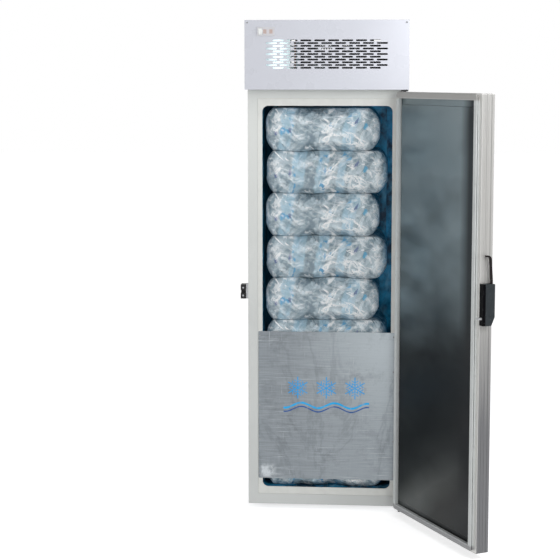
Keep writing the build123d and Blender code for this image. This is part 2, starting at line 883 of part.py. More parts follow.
def make_fan(centre_x, front_face_y, centre_z, diameter):
    """A hub on a bore with pitched blades round it."""
    hub_middle_y = front_face_y + fan_hub_length / 2
    blade_root = fan_hub_diameter / 4
    with BuildPart() as fan:
        with BuildSketch(front_plane(front_face_y)):
            with Locations((centre_x, centre_z)):
                Circle(fan_hub_diameter / 2)
        extrude(amount=-fan_hub_length)
        for blade in range(fan_blade_count):
            turn = Location((centre_x, hub_middle_y, centre_z), (0, 1, 0), 360 * blade / fan_blade_count)
            pitch = Location((0, 0, 0), (0, 0, 1), fan_blade_angle)
            with Locations(turn * pitch * Location((0, 0, blade_root))):
                Box(
                    fan_blade_chord,
                    fan_blade_sheet,
                    diameter / 2,
                    align=(Align.CENTER, Align.CENTER, Align.MIN),
                )
        with BuildSketch(front_plane(front_face_y - diameter)):
            with Locations((centre_x, centre_z)):
                Circle(diameter)
                Circle(diameter / 2, mode=Mode.SUBTRACT)
        extrude(amount=-2 * diameter, mode=Mode.SUBTRACT)
        with BuildSketch(front_plane(front_face_y)):
            with Locations((centre_x, centre_z)):
                Circle(fan_bore / 2 + fan_running_gap)
        extrude(amount=-fan_hub_length, mode=Mode.SUBTRACT)
    return fan


fan_front_y = shroud_rear_y - shroud_depth / 2
condenser_fan = make_fan(coil_centre_x, fan_front_y, fan_z, fan_diameter)
save(condenser_fan, "condenser_fan")

motor_front_y = fan_front_y + fan_hub_length + motor_gap
motor_rear_y = motor_front_y + motor_length
with BuildPart() as condenser_fan_motor:
    with BuildSketch(front_plane(motor_front_y)):
        with Locations((coil_centre_x, fan_z)):
            Circle(motor_diameter / 2)
    extrude(amount=-motor_length)
    fillet(condenser_fan_motor.faces().filter_by(Axis.Y).edges(), motor_arm_sheet)
    with BuildSketch(front_plane(motor_front_y)):
        with Locations((coil_centre_x, fan_z)):
            Circle(fan_bore / 2)
    extrude(amount=motor_gap + fan_hub_length)
    arm_rear_y = motor_rear_y - motor_arm_sheet
    with Locations((coil_centre_x, arm_rear_y, fan_z)):
        Box(2 * fan_ring_radius + 2 * motor_arm_width, motor_arm_sheet, motor_arm_width)
    for side in (-1, 1):
        leg_x = coil_centre_x + side * (fan_ring_radius + motor_arm_width / 2)
        block(
            (leg_x - motor_arm_width / 2, shroud_rear_y, fan_z - motor_arm_width / 2),
            (leg_x + motor_arm_width / 2, arm_rear_y, fan_z + motor_arm_width / 2),
        )
save(condenser_fan_motor, "condenser_fan_motor")

plate_low_z = tray_top + foot_height
pot_low_z = plate_low_z + compressor_plate
pot_radius = compressor_diameter / 2
foot_x = compressor_plate_x / 2 - foot_inset
foot_y = compressor_plate_y / 2 - foot_inset

with BuildPart() as compressor_feet:
    with BuildSketch(Plane.XY.offset(tray_top)):
        with Locations((compressor_x, compressor_y)):
            with GridLocations(2 * foot_x, 2 * foot_y, 2, 2):
                Circle(foot_diameter / 2)
    extrude(amount=foot_height)
    fillet(compressor_feet.faces().group_by(Axis.Z)[-1].edges(), foot_edge)
save(compressor_feet, "compressor_feet")

with BuildPart() as compressor:
    with BuildSketch(Plane.XY.offset(plate_low_z)):
        with Locations((compressor_x, compressor_y)):
            RectangleRounded(compressor_plate_x, compressor_plate_y, foot_inset)
            with GridLocations(2 * foot_x, 2 * foot_y, 2, 2):
                Circle(foot_bolt / 2, mode=Mode.SUBTRACT)
    extrude(amount=compressor_plate)
    with BuildSketch(Plane.XY.offset(pot_low_z)):
        with Locations((compressor_x, compressor_y)):
            Circle(pot_radius)
    extrude(amount=compressor_height)
    fillet(compressor.faces().sort_by(Axis.Z)[-1].edges(), compressor_dome)
    with BuildSketch(Plane.XY.offset(pot_low_z + compressor_height / 2 - compressor_band_height / 2)):
        with Locations((compressor_x, compressor_y)):
            Circle(pot_radius + compressor_band)
    extrude(amount=compressor_band_height)
    for stub_height, stub_diameter in (
        (discharge_height, discharge_diameter),
        (suction_height, suction_diameter),
    ):
        with BuildSketch(side_plane(suction_x)):
            with Locations((compressor_y, pot_low_z + stub_height)):
                Circle(stub_diameter / 2)
        extrude(amount=pot_radius + pipe_stub_length - compressor_band)
save(compressor, "compressor")

with BuildPart() as terminal_box:
    terminal_low_z = pot_low_z + compressor_height / 2 - compressor_band_height / 2 - terminal_height
    block(
        (compressor_x - terminal_width / 2, compressor_y - pot_radius - terminal_depth, terminal_low_z),
        (compressor_x + terminal_width / 2, compressor_y, terminal_low_z + terminal_height),
    )
    fillet(terminal_box.edges().filter_by(Axis.Z).group_by(Axis.Y)[0], compressor_band)
    with BuildSketch(Plane.XY.offset(terminal_low_z)):
        with Locations((compressor_x, compressor_y)):
            Circle(pot_radius + hairline)
    extrude(amount=terminal_height, mode=Mode.SUBTRACT)
save(terminal_box, "terminal_box")

discharge_z = pot_low_z + discharge_height
suction_z = pot_low_z + suction_height

with BuildPart() as discharge_pipe:
    condenser_entry_z = coil_top - pipe_bend
    lane_x = coil_low_x - pipe_bend
    entry_y = coil_rear_y - coil_depth / 4
    with BuildLine():
        FilletPolyline(
            (suction_x, compressor_y, discharge_z),
            (lane_x, compressor_y, discharge_z),
            (lane_x, entry_y, discharge_z),
            (lane_x, entry_y, condenser_entry_z),
            (coil_low_x, entry_y, condenser_entry_z),
            radius=pipe_bend / 2,
        )
    with BuildSketch(Plane((suction_x, compressor_y, discharge_z), z_dir=(-1, 0, 0))):
        Circle(discharge_diameter / 2)
    sweep()
save(discharge_pipe, "discharge_pipe")

with BuildPart() as suction_pipe:
    with BuildLine():
        FilletPolyline(
            (suction_x, compressor_y, suction_z),
            (suction_x - 2 * pipe_bend, compressor_y, suction_z),
            (suction_x - 2 * pipe_bend, suction_drop_y, suction_z),
            (suction_x, suction_drop_y, suction_z),
            (suction_x, suction_drop_y, evap_coil_high),
            radius=suction_bend,
        )
    with BuildSketch(Plane((suction_x, compressor_y, suction_z), z_dir=(-1, 0, 0))):
        Circle(suction_diameter / 2)
    sweep()
save(suction_pipe, "suction_pipe")

with BuildPart() as filter_drier:
    drier_y = (coil_front_y + coil_rear_y) / 2
    drier_z = tray_top + drier_diameter / 2 + drier_lift
    drier_x = coil_high_x
    with BuildSketch(Plane.XY.offset(drier_z)):
        with BuildLine():
            Polyline(
                (drier_x, drier_y),
                (drier_x, drier_y + drier_neck / 2),
                (drier_x + drier_stub, drier_y + drier_neck / 2),
                (drier_x + drier_stub + drier_cone, drier_y + drier_diameter / 2),
                (drier_x + drier_stub + drier_length - drier_cone, drier_y + drier_diameter / 2),
                (drier_x + drier_stub + drier_length, drier_y + drier_neck / 2),
                (drier_x + 2 * drier_stub + drier_length, drier_y + drier_neck / 2),
                (drier_x + 2 * drier_stub + drier_length, drier_y),
                close=True,
            )
        make_face()
    revolve(axis=Axis((drier_x, drier_y, drier_z), (1, 0, 0)))
save(filter_drier, "filter_drier")

electric_front_y = front_y + electric_front_gap
with BuildPart() as electrical_box:
    block(
        (electric_low_x, electric_front_y, deck_top),
        (electric_low_x + electric_width, electric_front_y + electric_depth, deck_top + electric_height),
    )
    fillet(electrical_box.edges().filter_by(Axis.Y), electric_corner)
    block(
        (
            electric_low_x + electric_wall,
            electric_front_y + electric_lid,
            deck_top + electric_wall,
        ),
        (
            electric_low_x + electric_width - electric_wall,
            electric_front_y + electric_depth,
            deck_top + electric_height - electric_wall,
        ),
        mode=Mode.SUBTRACT,
    )
save(electrical_box, "electrical_box")

# Evaporator on the rear wall
evap_front_y = mouth_rear_y - evap_cover_depth
evap_high = mouth_top - evap_cover_top_gap
evap_low = evap_high - evap_cover_height
evap_half = mouth_half - evap_cover_side_gap
evap_coil_width = 2 * (evap_half - evap_coil_side_gap)
evap_fan_z = evap_high - evap_fan_top
evap_fan_x = suction_x - evap_fan_from_pipe

with BuildPart() as evaporator_cover:
    block((-evap_half, evap_front_y, evap_low), (evap_half, mouth_rear_y, evap_high))
    block(
        (-evap_half + evap_cover_sheet, evap_front_y + evap_cover_sheet, evap_low + evap_cover_sheet),
        (evap_half - evap_cover_sheet, mouth_rear_y, evap_high - evap_cover_sheet),
        mode=Mode.SUBTRACT,
    )
    with BuildSketch(front_plane(evap_front_y)):
        with Locations((evap_fan_x, evap_fan_z)):
            Circle(evap_fan_diameter / 2 + fan_ring_gap)
        with Locations((0, evap_low + evap_slot_lift + evap_slot_pitch * evap_slot_count / 2)):
            with GridLocations(0, evap_slot_pitch, 1, evap_slot_count):
                SlotOverall(evap_slot_length, evap_slot_height)
    extrude(amount=-evap_cover_sheet, mode=Mode.SUBTRACT)
    with BuildSketch(Plane.XY.offset(evap_high)):
        with Locations((suction_x, suction_drop_y)):
            Circle(suction_hole)
    extrude(amount=-evap_cover_sheet, mode=Mode.SUBTRACT)
save(evaporator_cover, "evaporator_cover")

evap_coil_front_y = mouth_rear_y - evap_coil_depth
with BuildPart() as evaporator_coil:
    evap_fin_count = int((evap_coil_width - 2 * end_plate_sheet) / fin_pitch)
    with Locations((0, (evap_coil_front_y + mouth_rear_y) / 2, evap_coil_low + evap_coil_height / 2)):
        with GridLocations(fin_pitch, 0, evap_fin_count, 1):
            Box(fin_sheet, evap_coil_depth, evap_coil_height)
        with GridLocations(evap_coil_width - end_plate_sheet, 0, 2, 1):
            Box(end_plate_sheet, evap_coil_depth, evap_coil_height)
    with BuildSketch(side_plane(-evap_coil_width / 2)):
        with Locations(((evap_coil_front_y + mouth_rear_y) / 2, evap_coil_low + evap_coil_height / 2)):
            with GridLocations(evap_coil_depth / 2, evap_coil_height / coil_tube_rows, 2, coil_tube_rows):
                Circle(coil_tube_diameter / 2)
    extrude(amount=evap_coil_width)
    block(
        (suction_x - suction_diameter, suction_drop_y - suction_diameter, evap_coil_high - suction_diameter),
        (suction_x + suction_diameter, suction_drop_y + suction_diameter, evap_coil_high),
    )
save(evaporator_coil, "evaporator_coil")

evap_fan_front_y = evap_front_y + evap_fan_setback
evaporator_fan = make_fan(evap_fan_x, evap_fan_front_y, evap_fan_z, evap_fan_diameter)
save(evaporator_fan, "evaporator_fan")

evap_motor_front_y = evap_fan_front_y + fan_hub_length + motor_gap
with BuildPart() as evaporator_fan_motor:
    with BuildSketch(front_plane(evap_motor_front_y)):
        with Locations((evap_fan_x, evap_fan_z)):
            Circle(motor_diameter / 2)
    extrude(amount=-motor_length)
    with BuildSketch(front_plane(evap_motor_front_y)):
        with Locations((evap_fan_x, evap_fan_z)):
            Circle(fan_bore / 2)
    extrude(amount=motor_gap + fan_hub_length)
    block(
        (evap_fan_x - evap_bracket_width / 2, evap_motor_front_y + motor_length, evap_fan_z - evap_bracket_width / 2),
        (evap_fan_x + evap_bracket_width / 2, mouth_rear_y, evap_fan_z + evap_bracket_width / 2),
    )
save(evaporator_fan_motor, "evaporator_fan_motor")

with BuildPart() as drain_tube:
    with BuildSketch(Plane.XY.offset(body_bottom - drain_below)):
        with Locations((0, drain_y)):
            Circle(drain_diameter / 2)
    extrude(amount=mouth_bottom - body_bottom + drain_below)
    with BuildSketch(Plane.XY.offset(mouth_bottom)):
        with Locations((0, drain_y)):
            Circle(drain_flange / 2)
    extrude(amount=drain_flange_sheet)
    with BuildSketch(Plane.XY.offset(body_bottom - drain_below)):
        with Locations((0, drain_y)):
            Circle(drain_bore / 2)
    extrude(amount=mouth_bottom - body_bottom + drain_below + drain_flange_sheet, mode=Mode.SUBTRACT)
save(drain_tube, "drain_tube")

# Sacks of ice, stacked on the floor of the body
sack_pitch = (mouth_top - sack_top_gap - mouth_bottom) / sack_count
sack_low_x = -mouth_half + sack_left_gap
sack_high_x = mouth_half - sack_right_gap
sack_front_y = body_front_y + sack_front_gap
for number in range(sack_count):
    sack_low_z = mouth_bottom + number * sack_pitch + sack_gap
    with BuildPart() as ice_sack:
        with BuildSketch(front_plane(sack_front_y)):
            rectangle_between(
                sack_low_x, sack_high_x, sack_low_z, sack_low_z + sack_pitch - sack_gap, sack_corner
            )
        extrude(amount=-(evap_front_y - sack_rear_gap - sack_front_y))
        fillet(ice_sack.faces().filter_by(Axis.Y).edges(), sack_edge)
    save(ice_sack, f"ice_sack_{number + 1}")

# Door, drawn shut
bush_hole = bush_diameter / 2 + bush_seat_gap

with BuildPart() as door_frame:
    with BuildSketch(front_plane(door_outer_y)):
        rectangle_between(door_free_x, door_hinge_x, door_low, door_high, door_corner)
    extrude(amount=-door_thickness)
    block(
        (door_free_x + profile_web, door_outer_y + profile_lip_sheet, door_low + profile_web),
        (door_hinge_x - profile_web, door_inner_y - profile_lip_sheet, door_high - profile_web),
        mode=Mode.SUBTRACT,
    )
    with BuildSketch(front_plane(door_outer_y)):
        rectangle_between(
            door_free_x + profile_front_lip,
            door_hinge_x - profile_front_lip,
            door_low + profile_front_lip,
            door_high - profile_front_lip,
        )
    extrude(amount=-profile_lip_sheet, mode=Mode.SUBTRACT)
    with BuildSketch(front_plane(door_inner_y)):
        rectangle_between(
            door_free_x + profile_rear_lip,
            door_hinge_x - profile_rear_lip,
            door_low + profile_rear_lip,
            door_high - profile_rear_lip,
        )
    extrude(amount=profile_lip_sheet, mode=Mode.SUBTRACT)
    door_middle_y = (door_outer_y + door_inner_y) / 2
    for groove in range(profile_groove_count):
        groove_y = door_middle_y + (groove - (profile_groove_count - 1) / 2) * profile_groove_pitch
        with BuildSketch(front_plane(groove_y - profile_groove_width / 2)):
            rectangle_between(
                door_free_x - overrun, door_hinge_x + overrun, door_low - overrun, door_high + overrun
            )
            rectangle_between(
                door_free_x + profile_groove_depth,
                door_hinge_x - profile_groove_depth,
                door_low + profile_groove_depth,
                door_high - profile_groove_depth,
                mode=Mode.SUBTRACT,
            )
        extrude(amount=-profile_groove_width, mode=Mode.SUBTRACT)
    with BuildSketch(Plane.XY.offset(door_low)):
        with Locations((hinge_x, hinge_y)):
            Circle(bush_hole)
    extrude(amount=door_high - door_low, mode=Mode.SUBTRACT)
    mitre_reach = 2 * profile_rear_lip * 2**0.5
    for corner_x, corner_z, mitre_turn in (
        (door_free_x, door_low, 45),
        (door_hinge_x, door_low, -45),
        (door_hinge_x, door_high, 45),
        (door_free_x, door_high, -45),
    ):
        with BuildSketch(front_plane(door_outer_y - overrun)):
            with Locations(Location((corner_x, corner_z), mitre_turn)):
                Rectangle(2 * mitre_reach, mitre_gap)
        extrude(amount=-(door_thickness + 2 * overrun), mode=Mode.SUBTRACT)
save_on_door(door_frame, "door_frame")

skin_front_y = door_outer_y + profile_lip_sheet
with BuildPart() as door_skin:
    block(
        (door_free_x + profile_web, skin_front_y, door_low + profile_web),
        (door_hinge_x - profile_web, skin_front_y + skin_sheet, door_high - profile_web),
    )
save_on_door(door_skin, "door_skin")

liner_rear_y = door_inner_y - profile_lip_sheet
panel_low_x = door_free_x + liner_panel_inset
panel_high_x = door_hinge_x - liner_panel_inset
panel_low_z = door_low + liner_panel_inset
panel_high_z = door_high - liner_panel_inset
panel_front_y = liner_rear_y + liner_rise

with BuildPart() as door_liner:
    block(
        (door_free_x + profile_web, liner_rear_y - liner_sheet, door_low + profile_web),
        (door_hinge_x - profile_web, liner_rear_y, door_high - profile_web),
    )
    block((panel_low_x, liner_rear_y, panel_low_z), (panel_high_x, panel_front_y, panel_high_z))
    fillet(door_liner.edges().filter_by(Axis.Y).group_by(Axis.Y)[-1], gasket_corner)
    fillet(door_liner.faces().sort_by(Axis.Y)[-1].edges(), liner_press_corner)
    block(
        (panel_low_x + liner_press_wall, liner_rear_y - liner_sheet, panel_low_z + liner_press_wall),
        (panel_high_x - liner_press_wall, panel_front_y - liner_sheet, panel_high_z - liner_press_wall),
        mode=Mode.SUBTRACT,
    )
save_on_door(door_liner, "door_liner")

with BuildPart() as door_foam:
    block(
        (door_free_x + profile_web, skin_front_y + skin_sheet, door_low + profile_web),
        (door_hinge_x - profile_web, liner_rear_y - liner_sheet, door_high - profile_web),
    )
    block(
        (panel_low_x + liner_press_wall, liner_rear_y - liner_sheet, panel_low_z + liner_press_wall),
        (panel_high_x - liner_press_wall, panel_front_y - liner_sheet, panel_high_z - liner_press_wall),
    )
    with BuildSketch(Plane.XY.offset(door_low)):
        with Locations((hinge_x, hinge_y)):
            Circle(bush_hole)
    extrude(amount=profile_web + bush_length, mode=Mode.SUBTRACT)
    with BuildSketch(Plane.XY.offset(door_high)):
        with Locations((hinge_x, hinge_y)):
            Circle(bush_hole)
    extrude(amount=-(profile_web + bush_length), mode=Mode.SUBTRACT)
save_on_door(door_foam, "door_foam")

gasket_half = body_half - gasket_outer_inset
gasket_low = body_bottom + gasket_bottom_inset
gasket_high = body_top - gasket_top_inset
gasket_depth = body_front_y - hairline - door_inner_y

with BuildPart() as door_gasket:
    with BuildSketch(front_plane(door_inner_y)):
        rectangle_between(-gasket_half, gasket_half, gasket_low, gasket_high, gasket_corner)
        rectangle_between(
            -gasket_half + gasket_width,
            gasket_half - gasket_width,
            gasket_low + gasket_width,
            gasket_high - gasket_width,
            mode=Mode.SUBTRACT,
        )
    extrude(amount=-gasket_depth)
    with BuildSketch(front_plane(door_inner_y + gasket_depth - gasket_lip_depth)):
        rectangle_between(
            -gasket_half - overrun, gasket_half + overrun, gasket_low - overrun, gasket_high + overrun
        )
        rectangle_between(
            -gasket_half + gasket_lip_width,
            gasket_half - gasket_lip_width,
            gasket_low + gasket_lip_width,
            gasket_high - gasket_lip_width,
            mode=Mode.SUBTRACT,
        )
    extrude(amount=gasket_lip_depth, mode=Mode.SUBTRACT)
save_on_door(door_gasket, "door_gasket")

with BuildPart() as hinge_bushes:
    for end_z, inward in ((door_low, 1), (door_high, -1)):
        with BuildSketch(Plane.XY.offset(end_z)):
            with Locations((hinge_x, hinge_y)):
                Circle(bush_diameter / 2)
                Circle(hinge_pin_diameter / 2 + hinge_running_gap, mode=Mode.SUBTRACT)
        extrude(amount=inward * bush_length)
save_on_door(hinge_bushes, "hinge_bushes")

# Latch on the door's free edge, drawn with the door shut
lever_pivot_y = housing_front_y + lever_pivot_setback
lever_pivot_z = housing_bottom + lever_pivot_height
slot_rear_y = housing_front_y + slot_depth
slot_low_z = housing_top - slot_height
lock_z = housing_bottom + lock_centre
slot_low_x = latch_x - slot_width / 2
slot_high_x = latch_x + slot_width / 2
tab_low_x = slot_high_x - tongue_tab_sheet - tongue_gap
tab_rear_y = slot_rear_y - pocket_margin

with BuildPart() as latch_housing:
    block(
        (latch_x - housing_width / 2, housing_front_y, housing_bottom),
        (latch_x + housing_width / 2, door_inner_y, housing_top),
    )
    with BuildSketch(side_plane(latch_x)):
        with BuildLine():
            Polyline(
                (housing_front_y, housing_bottom),
                (housing_front_y + housing_chamfer_run, housing_bottom),
                (housing_front_y, housing_bottom + housing_chamfer_rise),
                close=True,
            )
        make_face()
    extrude(amount=housing_width, both=True, mode=Mode.SUBTRACT)
    fillet(latch_housing.edges().filter_by(Axis.Z).group_by(Axis.X)[0], housing_edge)
    fillet(latch_housing.faces().sort_by(Axis.Z)[-1].edges().sort_by(Axis.X)[0], housing_edge)
    block(
        (slot_low_x, housing_front_y, slot_low_z),
        (slot_high_x, slot_rear_y, housing_top),
        mode=Mode.SUBTRACT,
    )
    block(
        (tab_low_x - tongue_gap, tab_rear_y - tongue_tab_depth - tongue_travel, tongue_z - tongue_height),
        (slot_high_x, slot_rear_y, slot_low_z),
        mode=Mode.SUBTRACT,
    )
    block(
        (
            latch_x - tongue_width / 2 - tongue_gap,
            tab_rear_y - tongue_tail - tongue_travel,
            tongue_z - tongue_height / 2 - tongue_gap,
        ),
        (
            slot_high_x,
            door_inner_y,
            tongue_z + tongue_height / 2 + tongue_gap,
        ),
        mode=Mode.SUBTRACT,
    )
    with BuildSketch(side_plane(latch_x)):
        with Locations((lever_pivot_y, lever_pivot_z)):
            Circle(pivot_pin_diameter / 2 + pivot_running_gap)
    extrude(amount=housing_width / 2 - housing_edge, both=True, mode=Mode.SUBTRACT)
    with BuildSketch(front_plane(housing_front_y)):
        with Locations((latch_x, lock_z)):
            Circle(lock_diameter / 2 + lock_running_gap)
    extrude(amount=-lock_depth, mode=Mode.SUBTRACT)
save_on_door(latch_housing, "latch_housing")

link_z = lever_pivot_z + link_arm
with BuildPart() as handle_lever:
    with BuildSketch(side_plane(latch_x)):
        with BuildLine():
            FilletPolyline(
                (lever_pivot_y - lever_belly, link_z + 2 * lever_foot),
                (lever_pivot_y - lever_belly, housing_top + lever_foot),
                (lever_pivot_y - lever_belly + lever_lean, housing_top + lever_rise),
                (lever_pivot_y - lever_belly + lever_lean + lever_hook, housing_top + lever_rise),
                radius=lever_bend,
            )
        trace(line_width=lever_thickness)
    extrude(amount=lever_width / 2, both=True)
    with BuildSketch(side_plane(latch_x)):
        with BuildLine():
            Polyline(
                (lever_pivot_y, lever_pivot_z - lever_foot),
                (lever_pivot_y, lever_pivot_z),
                (lever_pivot_y - lever_belly, link_z + lever_foot),
                (lever_pivot_y - lever_belly, link_z + 3 * lever_foot),
            )
        trace(line_width=lever_thickness)
    extrude(amount=lever_stem_width / 2, both=True)
    with BuildSketch(side_plane(latch_x)):
        with Locations((lever_pivot_y, lever_pivot_z)):
            Circle(pivot_pin_diameter / 2)
    extrude(amount=housing_width / 2 - housing_edge - tongue_gap, both=True)
    with BuildSketch(side_plane(latch_x)):
        with Locations((lever_pivot_y, link_z)):
            Circle(link_pin_diameter / 2)
    extrude(amount=slot_width / 2 - tongue_gap)
save_on_door(handle_lever, "handle_lever")

with BuildPart() as latch_tongue:
    block(
        (latch_x - tongue_width / 2, tab_rear_y - tongue_tail, tongue_z - tongue_height / 2),
        (latch_x + tongue_width / 2, door_inner_y + tongue_reach, tongue_z + tongue_height / 2),
    )
    chamfer(
        latch_tongue.faces().sort_by(Axis.Y)[-1].edges().filter_by(Axis.X), tongue_height / 4
    )
    block(
        (latch_x, tab_rear_y - tongue_tab_depth, tongue_z - tongue_height / 2),
        (tab_low_x + tongue_tab_sheet, tab_rear_y, tongue_z + tongue_height / 2),
    )
    block(
        (tab_low_x, tab_rear_y - tongue_tab_depth, tongue_z - tongue_height / 2),
        (tab_low_x + tongue_tab_sheet, tab_rear_y, link_z + tongue_tab_depth),
    )
    link_half = link_pin_diameter / 2 + link_slot_gap
    block(
        (tab_low_x, lever_pivot_y - link_half - tongue_tab_sheet, link_z - link_eye_drop),
        (tab_low_x + tongue_tab_sheet, tab_rear_y, link_z + tongue_tab_depth),
    )
    block(
        (tab_low_x, lever_pivot_y - link_half, link_z - link_pin_diameter - link_slot_gap),
        (tab_low_x + tongue_tab_sheet, lever_pivot_y + link_half, link_z + link_half),
        mode=Mode.SUBTRACT,
    )
save_on_door(latch_tongue, "latch_tongue")

with BuildPart() as lock_cylinder:
    with BuildSketch(front_plane(housing_front_y - lock_proud)):
        with Locations((latch_x, lock_z)):
            Circle(lock_diameter / 2)
    extrude(amount=-(lock_proud + lock_depth))
    fillet(lock_cylinder.faces().sort_by(Axis.Y)[0].edges(), lock_proud / 3)
    with BuildSketch(front_plane(housing_front_y - lock_proud)):
        with Locations((latch_x, lock_z)):
            Rectangle(key_slot_width, key_slot_length)
    extrude(amount=-key_slot_depth, mode=Mode.SUBTRACT)
save_on_door(lock_cylinder, "lock_cylinder")
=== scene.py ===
import json
import math

import bpy
from mathutils import Matrix, Vector, noise


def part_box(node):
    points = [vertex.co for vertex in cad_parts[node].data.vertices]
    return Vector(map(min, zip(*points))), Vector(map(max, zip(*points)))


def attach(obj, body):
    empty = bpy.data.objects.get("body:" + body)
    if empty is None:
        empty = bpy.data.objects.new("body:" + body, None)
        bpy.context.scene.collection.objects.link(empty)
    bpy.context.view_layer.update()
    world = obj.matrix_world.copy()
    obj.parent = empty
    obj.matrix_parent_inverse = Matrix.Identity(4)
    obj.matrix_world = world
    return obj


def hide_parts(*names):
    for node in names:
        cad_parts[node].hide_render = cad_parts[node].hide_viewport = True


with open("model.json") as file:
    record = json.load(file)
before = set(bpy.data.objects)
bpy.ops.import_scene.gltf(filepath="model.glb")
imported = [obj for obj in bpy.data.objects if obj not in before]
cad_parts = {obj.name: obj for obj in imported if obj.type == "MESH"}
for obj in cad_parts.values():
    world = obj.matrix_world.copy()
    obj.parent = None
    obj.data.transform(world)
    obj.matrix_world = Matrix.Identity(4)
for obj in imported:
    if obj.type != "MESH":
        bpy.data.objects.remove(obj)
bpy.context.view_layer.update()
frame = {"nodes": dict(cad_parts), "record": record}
print("stage: cabinet loaded", len(frame["nodes"]), "nodes")

# The door is modelled shut and swung open about its hinge line
doorSettings = {"openAngle": 118.0, "hinge": (0.327, -0.330, 0.0)}
hingeLine = Vector(doorSettings["hinge"])
doorSwing = (
    Matrix.Translation(hingeLine)
    @ Matrix.Rotation(math.radians(doorSettings["openAngle"]), 4, "Z")
    @ Matrix.Translation(-hingeLine)
)

# Camera, lights and floor
viewSettings = {
    "place": (0.2931, -6.6129, 1.8845),
    "pitchDown": 6.199,
    "yawLeft": 4.468,
    "lens": 95.54,
    "shiftY": -0.075,
    "far": 200.0,
}
lampSettings = {
    "keyLamp": {"place": (2.0, -2.9, 2.6), "aim": (0.1, -0.3, 1.6), "size": 1.3, "power": 46.0},
    "fillLamp": {"place": (-2.4, -4.8, 1.9), "aim": (0.1, -0.3, 1.2), "size": 1.8, "power": 46.0},
    "sideLamp": {"place": (0.95, -0.62, 2.25), "aim": (0.2, -0.36, 1.98), "size": 0.3, "power": 6.5},
    "topLamp": {"place": (0.2, -0.6, 4.6), "aim": (0.1, -0.2, 1.0), "size": 2.0, "power": 10.0},
}
worldSettings = {"colour": (1.0, 1.0, 1.0, 1.0), "onObject": 0.44, "seen": 1.0}
floorSettings = {
    "size": 60.0,
    "colour": (0.88, 0.88, 0.88),
    "roughness": 0.9,
    "specular": 0.1,
    "grain": 3.0,
    "grainShade": 0.98,
    "glow": 0.62,
}

bpy.context.scene.view_settings.view_transform = "Standard"


def deselectAll():
    bpy.ops.object.select_all(action="DESELECT")


def pick(piece):
    deselectAll()
    piece.select_set(True)
    bpy.context.view_layer.objects.active = piece


def buildView():
    rotation = (math.radians(90.0 - viewSettings["pitchDown"]), 0.0, math.radians(viewSettings["yawLeft"]))
    bpy.ops.object.camera_add(location=viewSettings["place"], rotation=rotation)
    camera = bpy.context.object
    camera.data.lens = viewSettings["lens"]
    camera.data.shift_y = viewSettings["shiftY"]
    camera.data.clip_end = viewSettings["far"]
    bpy.context.scene.camera = camera


def buildLamps():
    for name, setting in lampSettings.items():
        place = Vector(setting["place"])
        facing = (Vector(setting["aim"]) - place).to_track_quat("-Z", "Y").to_euler()
        bpy.ops.object.light_add(type="AREA", location=place, rotation=facing)
        lamp = bpy.context.object
        lamp.name = name
        lamp.data.size = setting["size"]
        lamp.data.energy = setting["power"]


# White where it is seen or mirrored, dimmer where it lights the cabinet
def buildWorld():
    world = bpy.context.scene.world or bpy.data.worlds.new("studio")
    bpy.context.scene.world = world
    world.use_nodes = True
    world.node_tree.nodes.clear()
    current["tree"] = world.node_tree
    strength = rangeOf(seenRays(), 0.0, 1.0, worldSettings["onObject"], worldSettings["seen"])
    sky = addNode("ShaderNodeBackground", {"Color": worldSettings["colour"], "Strength": strength})
    addNode("ShaderNodeOutputWorld", {"Surface": sky.outputs[0]})


def buildFloor():
    deselectAll()
    bpy.ops.mesh.primitive_plane_add(size=floorSettings["size"], location=(0.0, 0.0, 0.0))
    floor = bpy.context.object
    floor.name = "studioFloor"
    material = startMaterial("floorPaper", floorSettings["roughness"])
    put("Specular IOR Level", floorSettings["specular"])
    grain = noiseOf(points(), floorSettings["grain"], 2.0)
    colour = floorSettings["colour"]
    tone = mixOf(grain, shade(colour), shade(colour, floorSettings["grainShade"]))
    put("Base Color", tone)
    # seen straight on or in a mirror the paper is near white, and it keeps the cabinet's shadow
    put("Emission Color", (1.0, 1.0, 1.0, 1.0))
    put("Emission Strength", times(seenRays(), floorSettings["glow"]))
    floor.data.materials.append(material)


# Material helpers: a shader, with nodes wired to it by socket name in the tree being filled
current = {"tree": None, "shader": None}


def startMaterial(name, roughness, metallic=0.0, coat=0.0):
    material = bpy.data.materials.new(name)
    material.use_nodes = True
    current["tree"] = material.node_tree
    current["shader"] = material.node_tree.nodes["Principled BSDF"]
    put("Roughness", roughness)
    put("Metallic", metallic)
    put("Coat Weight", coat)
    return material


def wire(made, socket, value):
    if isinstance(value, bpy.types.NodeSocket):
        current["tree"].links.new(value, made.inputs[socket])
    else:
        made.inputs[socket].default_value = value


def addNode(kind, inputs=None, **settings):
    made = current["tree"].nodes.new(kind)
    for setting, value in settings.items():
        setattr(made, setting, value)
    for socket, value in (inputs or {}).items():
        wire(made, socket, value)
    return made


def put(socket, value):
    wire(current["shader"], socket, value)


# stretched first and turned after
def points(scale=(1.0, 1.0, 1.0), turn=0.0):
    source = addNode("ShaderNodeTexCoord").outputs["Object"]
    mapping = addNode("ShaderNodeMapping", {"Vector": source, "Scale": scale})
    mapping.inputs["Rotation"].default_value = (0.0, turn, 0.0)
    return mapping.outputs[0]


# turned first and stretched after, so that the streaks run aslant
def scaled(where, scale, turn=0.0):
    mapping = addNode("ShaderNodeMapping", {"Vector": where}, vector_type="TEXTURE")
    mapping.inputs["Rotation"].default_value = (0.0, turn, 0.0)
    mapping.inputs["Scale"].default_value = [1.0 / value for value in scale]
    return mapping.outputs[0]


